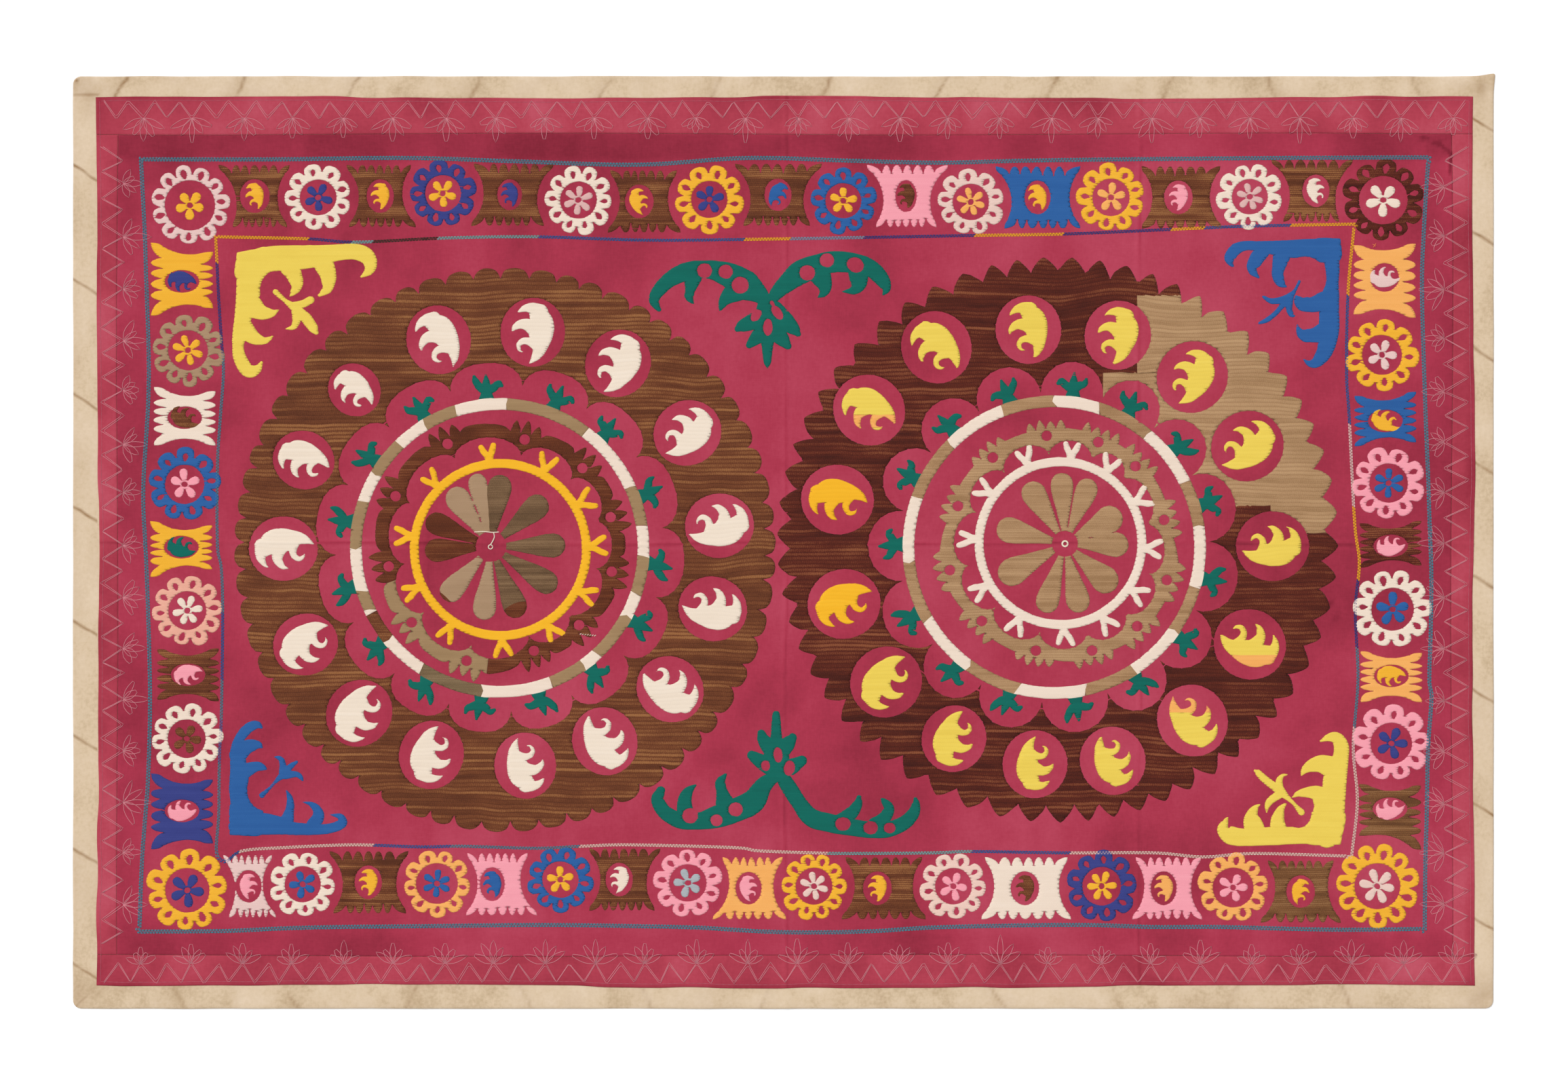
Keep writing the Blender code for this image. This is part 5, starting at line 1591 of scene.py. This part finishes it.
def walk(points, gap):
    # evenly spaced places along a curve, with its direction there
    points = np.array(points, float)
    runs, start = [], 0
    for i in range(1, len(points)):
        if np.allclose(points[i], points[i - 1]) or i == len(points) - 1:
            run = points[start:i if np.allclose(points[i], points[i - 1]) else i + 1]
            if len(run) > 1:
                runs.append(smoothPath(run, 12))
            start = i
    line = np.concatenate(runs)
    line = line[np.concatenate([[True], np.hypot(*np.diff(line, axis=0).T) > 1e-6])]
    along = np.concatenate([[0], np.cumsum(np.hypot(*np.diff(line, axis=0).T))])
    at = np.arange(0, along[-1], gap)
    x, y = np.interp(at, along, line[:, 0]), np.interp(at, along, line[:, 1])
    way = np.stack([np.gradient(x), np.gradient(y)], 1)
    way /= np.maximum(np.hypot(*way.T), 1e-9)[:, None]
    return x, y, way, at / along[-1]


# painted highlight on the top of each strand and painted shade on its sides and ends
linkShades = [-0.15, -0.2, 0.12, -0.2, -0.2, 0.1, -0.2, -0.15]   # at the eight points of one strand


def chainStitch(name, row):
    # each link is two plump strands that meet where the next link starts
    x, y, way, share = walk(row["path"], row["link"])
    side = np.stack([-way[:, 1], way[:, 0]], 1)
    rng = np.random.default_rng(len(name))
    verts, faces, mats, shade = [], [], [], []
    names = list(dict.fromkeys(c for c, _ in row["colours"]))
    stops = np.array([s for _, s in row["colours"]])
    colourOf = np.array([names.index(row["colours"][int(i)][0])
                         for i in np.minimum(np.searchsorted(stops, share), len(stops) - 1)])
    lane = row["width"] / row["rows"]
    for r in range(row["rows"]):
        middle = (r - (row["rows"] - 1) / 2) * lane
        for sign in (-1, 1):
            n = len(x)
            wobble = rng.uniform(-0.25, 0.25, (n, 2)) * row["wander"]
            base = np.stack([x, y], 1) + side * middle + wobble + way * (r * row["link"] / 2)
            tip = base + way * row["link"] * 1.12
            thick = lane * 0.27
            spots = []   # start point, two rings of three points, end point
            for share2, out, wide, tall in ((0.0, 0.12, 0, 0.35), (0.34, 0.27, 1, 1.0), (0.72, 0.24, 1, 0.92),
                                            (1.0, 0.06, 0, 0.3)):
                core = base + (tip - base) * share2 + side * sign * out * lane * 0.98
                z = groundTop(core[:, 0], core[:, 1])
                if not wide:
                    spots.append([np.column_stack([core, z + tall * row["height"] * 0.6])])
                else:
                    ring = []
                    for across, up in ((-1, -0.12), (0, tall), (1, -0.12)):
                        p = core + side * across * thick
                        ring.append(np.column_stack([p, z + up * row["height"]]))
                    spots.append(ring)
            cells = [spots[0][0], *spots[1], *spots[2], spots[3][0]]
            start = sum(len(v) for v in verts)
            verts.append(np.stack(cells, 1).reshape(-1, 3))
            pattern = np.array([(0, 2, 1), (0, 3, 2), (0, 1, 3), (1, 2, 5), (1, 5, 4), (2, 3, 6), (2, 6, 5),
                                (3, 1, 4), (3, 4, 6), (7, 4, 5), (7, 5, 6), (7, 6, 4)])
            faces.append((start + np.arange(n)[:, None, None] * 8 + pattern).reshape(-1, 3))
            mats.append(np.repeat(colourOf, 12))
            # each link's own tone, plus the painted highlight and shade at its strand points
            shade.append(np.repeat(np.clip(0.6 + 0.25 * rng.uniform(-1, 1, n), 0, 1), 8)
                         + np.tile(linkShades, n))
    faces = np.concatenate(faces)
    piece = makePiece(name, np.concatenate(verts), faces.tolist(), [yarnMaterials[yarn] for yarn in names],
                      np.concatenate(mats),
                      {"streakAndShade": np.clip(np.concatenate(shade), 0, 1)})
    print("chained", name, len(faces), "triangles")
    return piece


for name, row in chainLines.items():
    chainStitch(name + "ChainLine", row)


# Machine stitching

machineThread = threadMaterial("machine_thread", (208, 124, 136))
orangeThread = threadMaterial("orange_thread", (232, 120, 50))
creamThread = threadMaterial("cream_thread", (236, 222, 200))
machineLook = {
    "radius": 0.5, "doubleGap": 3.2, "zigzagPitch": 38.0,
    "runs": [   # each zigzag: from, to, outer and inner points, side, seed
        (-1018, 1022, 660, 635, "top", 81), (-1018, 1022, -660, -632, "bottom", 82),
        (-602, 592, -1021, -989, "left", 83), (-602, 592, 1026, 990, "right", 84)],
}


def threadPiece(name, paths, radius, material, lift=0.25, step=4.0):
    # thin three-sided threads lying on the cloth
    verts, faces = [], []
    count = 0
    for path in paths:
        path = np.array(path, float)
        along = np.concatenate([[0], np.cumsum(np.hypot(*np.diff(path[:, :2], axis=0).T))])
        n = max(2, int(along[-1] / step) + 1)
        at = np.linspace(0, along[-1], n)
        x, y = np.interp(at, along, path[:, 0]), np.interp(at, along, path[:, 1])
        z = groundTop(x, y) + lift + (np.interp(at, along, path[:, 2]) if path.shape[1] > 2 else 0)
        z = z + 0.12 * np.where(np.arange(n) % 2, 1, -1)
        way = np.stack([np.gradient(x), np.gradient(y)], 1)
        way /= np.maximum(np.hypot(*way.T), 1e-9)[:, None]
        side = np.stack([-way[:, 1], way[:, 0]], 1)
        ring = []
        for across, up in ((-1, -0.6), (0, 1), (1, -0.6)):
            ring.append(np.stack([x + side[:, 0] * across * radius, y + side[:, 1] * across * radius, z
                                  + up * radius], 1))
        verts.append(np.stack(ring, 1).reshape(-1, 3))
        for i in range(n - 1):
            a, b = count + 3 * i, count + 3 * i + 3
            for k in range(3):
                faces.append((a + k, b + k, b + (k + 1) % 3, a + (k + 1) % 3))
        faces += [(count, count + 1, count + 2), (count + 3 * n - 1, count + 3 * n - 2, count + 3 * n - 3)]
        count += 3 * n
    piece = makePiece(name, np.concatenate(verts), faces, [material])
    print("threads", name, len(faces), "faces")
    return piece


def sprigLeaves(foot, turn, rng):
    # outlined leaves of one machine stitched sprig, opening along turn
    paths = []
    whole = rng.uniform(0.74, 1.12)
    for lean, length in ((-64, 33), (-32, 30), (0, 37), (32, 30), (64, 33)):
        length *= whole * rng.uniform(0.85, 1.1)
        bow = 4.4 * rng.uniform(0.8, 1.2)
        leaf = [(0, 0), (0.35 * length, bow), (0.75 * length, bow * 0.8), (length, 0),
                (0.75 * length, -bow * 0.8), (0.35 * length, -bow), (0, 0)]
        paths.append(placed(smoothPath(leaf, 4), foot, turn + lean * rng.uniform(0.85, 1.1)))
    return paths


def zigzagRun(start, stop, outer, inner, edge, seed):
    # doubled zigzag along one strip with a sprig at every second inner point
    rng = np.random.default_rng(seed)
    upright = edge in ("left", "right")
    count = max(2, round((stop - start) / machineLook["zigzagPitch"]))
    marks = np.linspace(start, stop, 2 * count
                        + 1) + np.concatenate([[0], rng.uniform(-3, 3, 2 * count - 1), [0]])
    inward = {"top": -90, "bottom": 90, "left": 0, "right": 180}[edge]
    paths = []
    for shift in (-0.5, 0.5):
        line = []
        for i, along in enumerate(marks):
            off = (outer if i % 2 == 0 else inner) + rng.uniform(-1.5, 1.5) + shift * machineLook["doubleGap"]
            line.append((off, along) if upright else (along, off))
        paths.append(line)
    for i, along in enumerate(marks):
        if i % 4 == 3:
            foot = (inner, along) if upright else (along, inner)
            paths += sprigLeaves(foot, inward, rng)
    return paths


def rimPath(inset):
    xs, ys = np.linspace(-1022, 1027, 240), np.linspace(-660, 660, 150)
    return [np.stack([xs, sway("clothTop", xs) - inset], 1),
            np.stack([xs, sway("clothBottom", xs) + inset], 1),
            np.stack([sway("clothLeft", ys) + inset, ys], 1),
            np.stack([sway("clothRight", ys) - inset, ys], 1)]


zigzags = [line for run in machineLook["runs"] for line in zigzagRun(*run)]
stripWork = threadPiece("zigzagStitching", zigzags, machineLook["radius"], machineThread, step=6.0)
topStitch = threadPiece("topStitching", rimPath(5.8), 0.36, threadMaterial("topstitch_thread", (178, 78, 98)),
                        lift=0.12, step=4.5)

# loops at the middle of the flowers, and stray stitches
circle = np.linspace(0, 2 * math.pi, 26)
leftKnot = [np.column_stack([-438.7 + 3.2 * np.cos(circle), -7.6 + 3.2 * np.sin(circle), 0.4 + 0 * circle]),
            smoothPath([(-438.7, -4.4, 0.4), (-436, 0, 0.9), (-433, 7, 0.6), (-434, 13.7, 0.1)], 6),
            smoothPath([(-463, 14.7, 0.1), (-450, 15.4, 0.6), (-436, 14.2, 0.6), (-426, 14.7, 0.1)], 6)]
rightKnot = [np.column_stack([422.0 + r * np.cos(circle), -2.8 + r * np.sin(circle), h + 0 * circle])
             for r, h in ((4.6, 0.3), (3.6, 0.7))]
knots = threadPiece("centreLoops", leftKnot + rightKnot, 0.9, creamThread, step=1.4)
stray = threadPiece("strayStitches", [[(883, 446), (888, 443)], [(884, 441), (888, 447)]], 0.6, orangeThread,
                    step=1.5)
looseStitches = []
for i in range(7):   # a short row of cream stitches beside the scalloped ring
    sx = -305 + 3.6 * i
    looseStitches.append([(sx, -139 - 0.4 * i), (sx + 2.6, -137.2 - 0.4 * i)])
loose = threadPiece("looseStitches", looseStitches, 0.7, creamThread, step=1.2, lift=0.5)


# Floor, light and camera

studio = {"floor": 0.97, "keyStrength": 2.3, "keySoftness": 34.0, "fillStrength": 0.85, "skyStrength": 0.42}
floorMesh = bpy.data.meshes.new("floor")
floorMesh.from_pydata([(-6, -6, 0), (6, -6, 0), (6, 6, 0), (-6, 6, 0)], [], [(0, 1, 2, 3)])
floor = bpy.data.objects.new("floor", floorMesh)
floor.location.z = -0.0004
bpy.context.scene.collection.objects.link(floor)
floorMaterial = bpy.data.materials.new("floor_paper")
floorMaterial.use_nodes = True
floorShader = floorMaterial.node_tree.nodes["Principled BSDF"]
floorShader.inputs["Base Color"].default_value = (studio["floor"],) * 3 + (1.0,)
floorShader.inputs["Roughness"].default_value = 0.9
floorMesh.materials.append(floorMaterial)
floor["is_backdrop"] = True


def softSun(name, towards, strength, softness):
    # even light over the whole cloth, from the direction it comes from
    lamp = bpy.data.lights.new(name, "SUN")
    lamp.energy, lamp.angle = strength, math.radians(softness)
    holder = bpy.data.objects.new(name, lamp)
    holder.rotation_euler = Vector(towards).to_track_quat("Z", "Y").to_euler()
    bpy.context.scene.collection.objects.link(holder)


softSun("keyLight", (-0.62, 0.62, 0.75), studio["keyStrength"], studio["keySoftness"])
softSun("fillLight", (0.5, -0.4, 0.9), studio["fillStrength"], 60.0)
world = bpy.data.worlds.new("studio")
world.use_nodes = True
world.node_tree.nodes["Background"].inputs["Color"].default_value = (1, 1, 1, 1)
world.node_tree.nodes["Background"].inputs["Strength"].default_value = studio["skyStrength"]
bpy.context.scene.world = world
bpy.context.scene.view_settings.view_transform = "Standard"

cameraPlan = {"lens": 85.0, "sensor": 36.0, "imageWidth": 2311, "clothPixels": 2095, "shiftX": 0.001,
              "shiftY": 0.0005}
camera = bpy.data.objects.new("camera", bpy.data.cameras.new("camera"))
camera.data.lens, camera.data.sensor_width = cameraPlan["lens"], cameraPlan["sensor"]
frameWidth = backingSize["length"] * mm / cameraPlan["clothPixels"] * cameraPlan["imageWidth"]
camera.location = (cameraPlan["shiftX"], cameraPlan["shiftY"],
                   frameWidth * cameraPlan["lens"] / cameraPlan["sensor"] + 0.003)
bpy.context.scene.collection.objects.link(camera)
bpy.context.scene.camera = camera
print("studio ready")

low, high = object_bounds()
total = sum(len(p.data.loop_triangles) or len(p.data.polygons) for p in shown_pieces() if p.type == "MESH")
print("faces in all:", total)
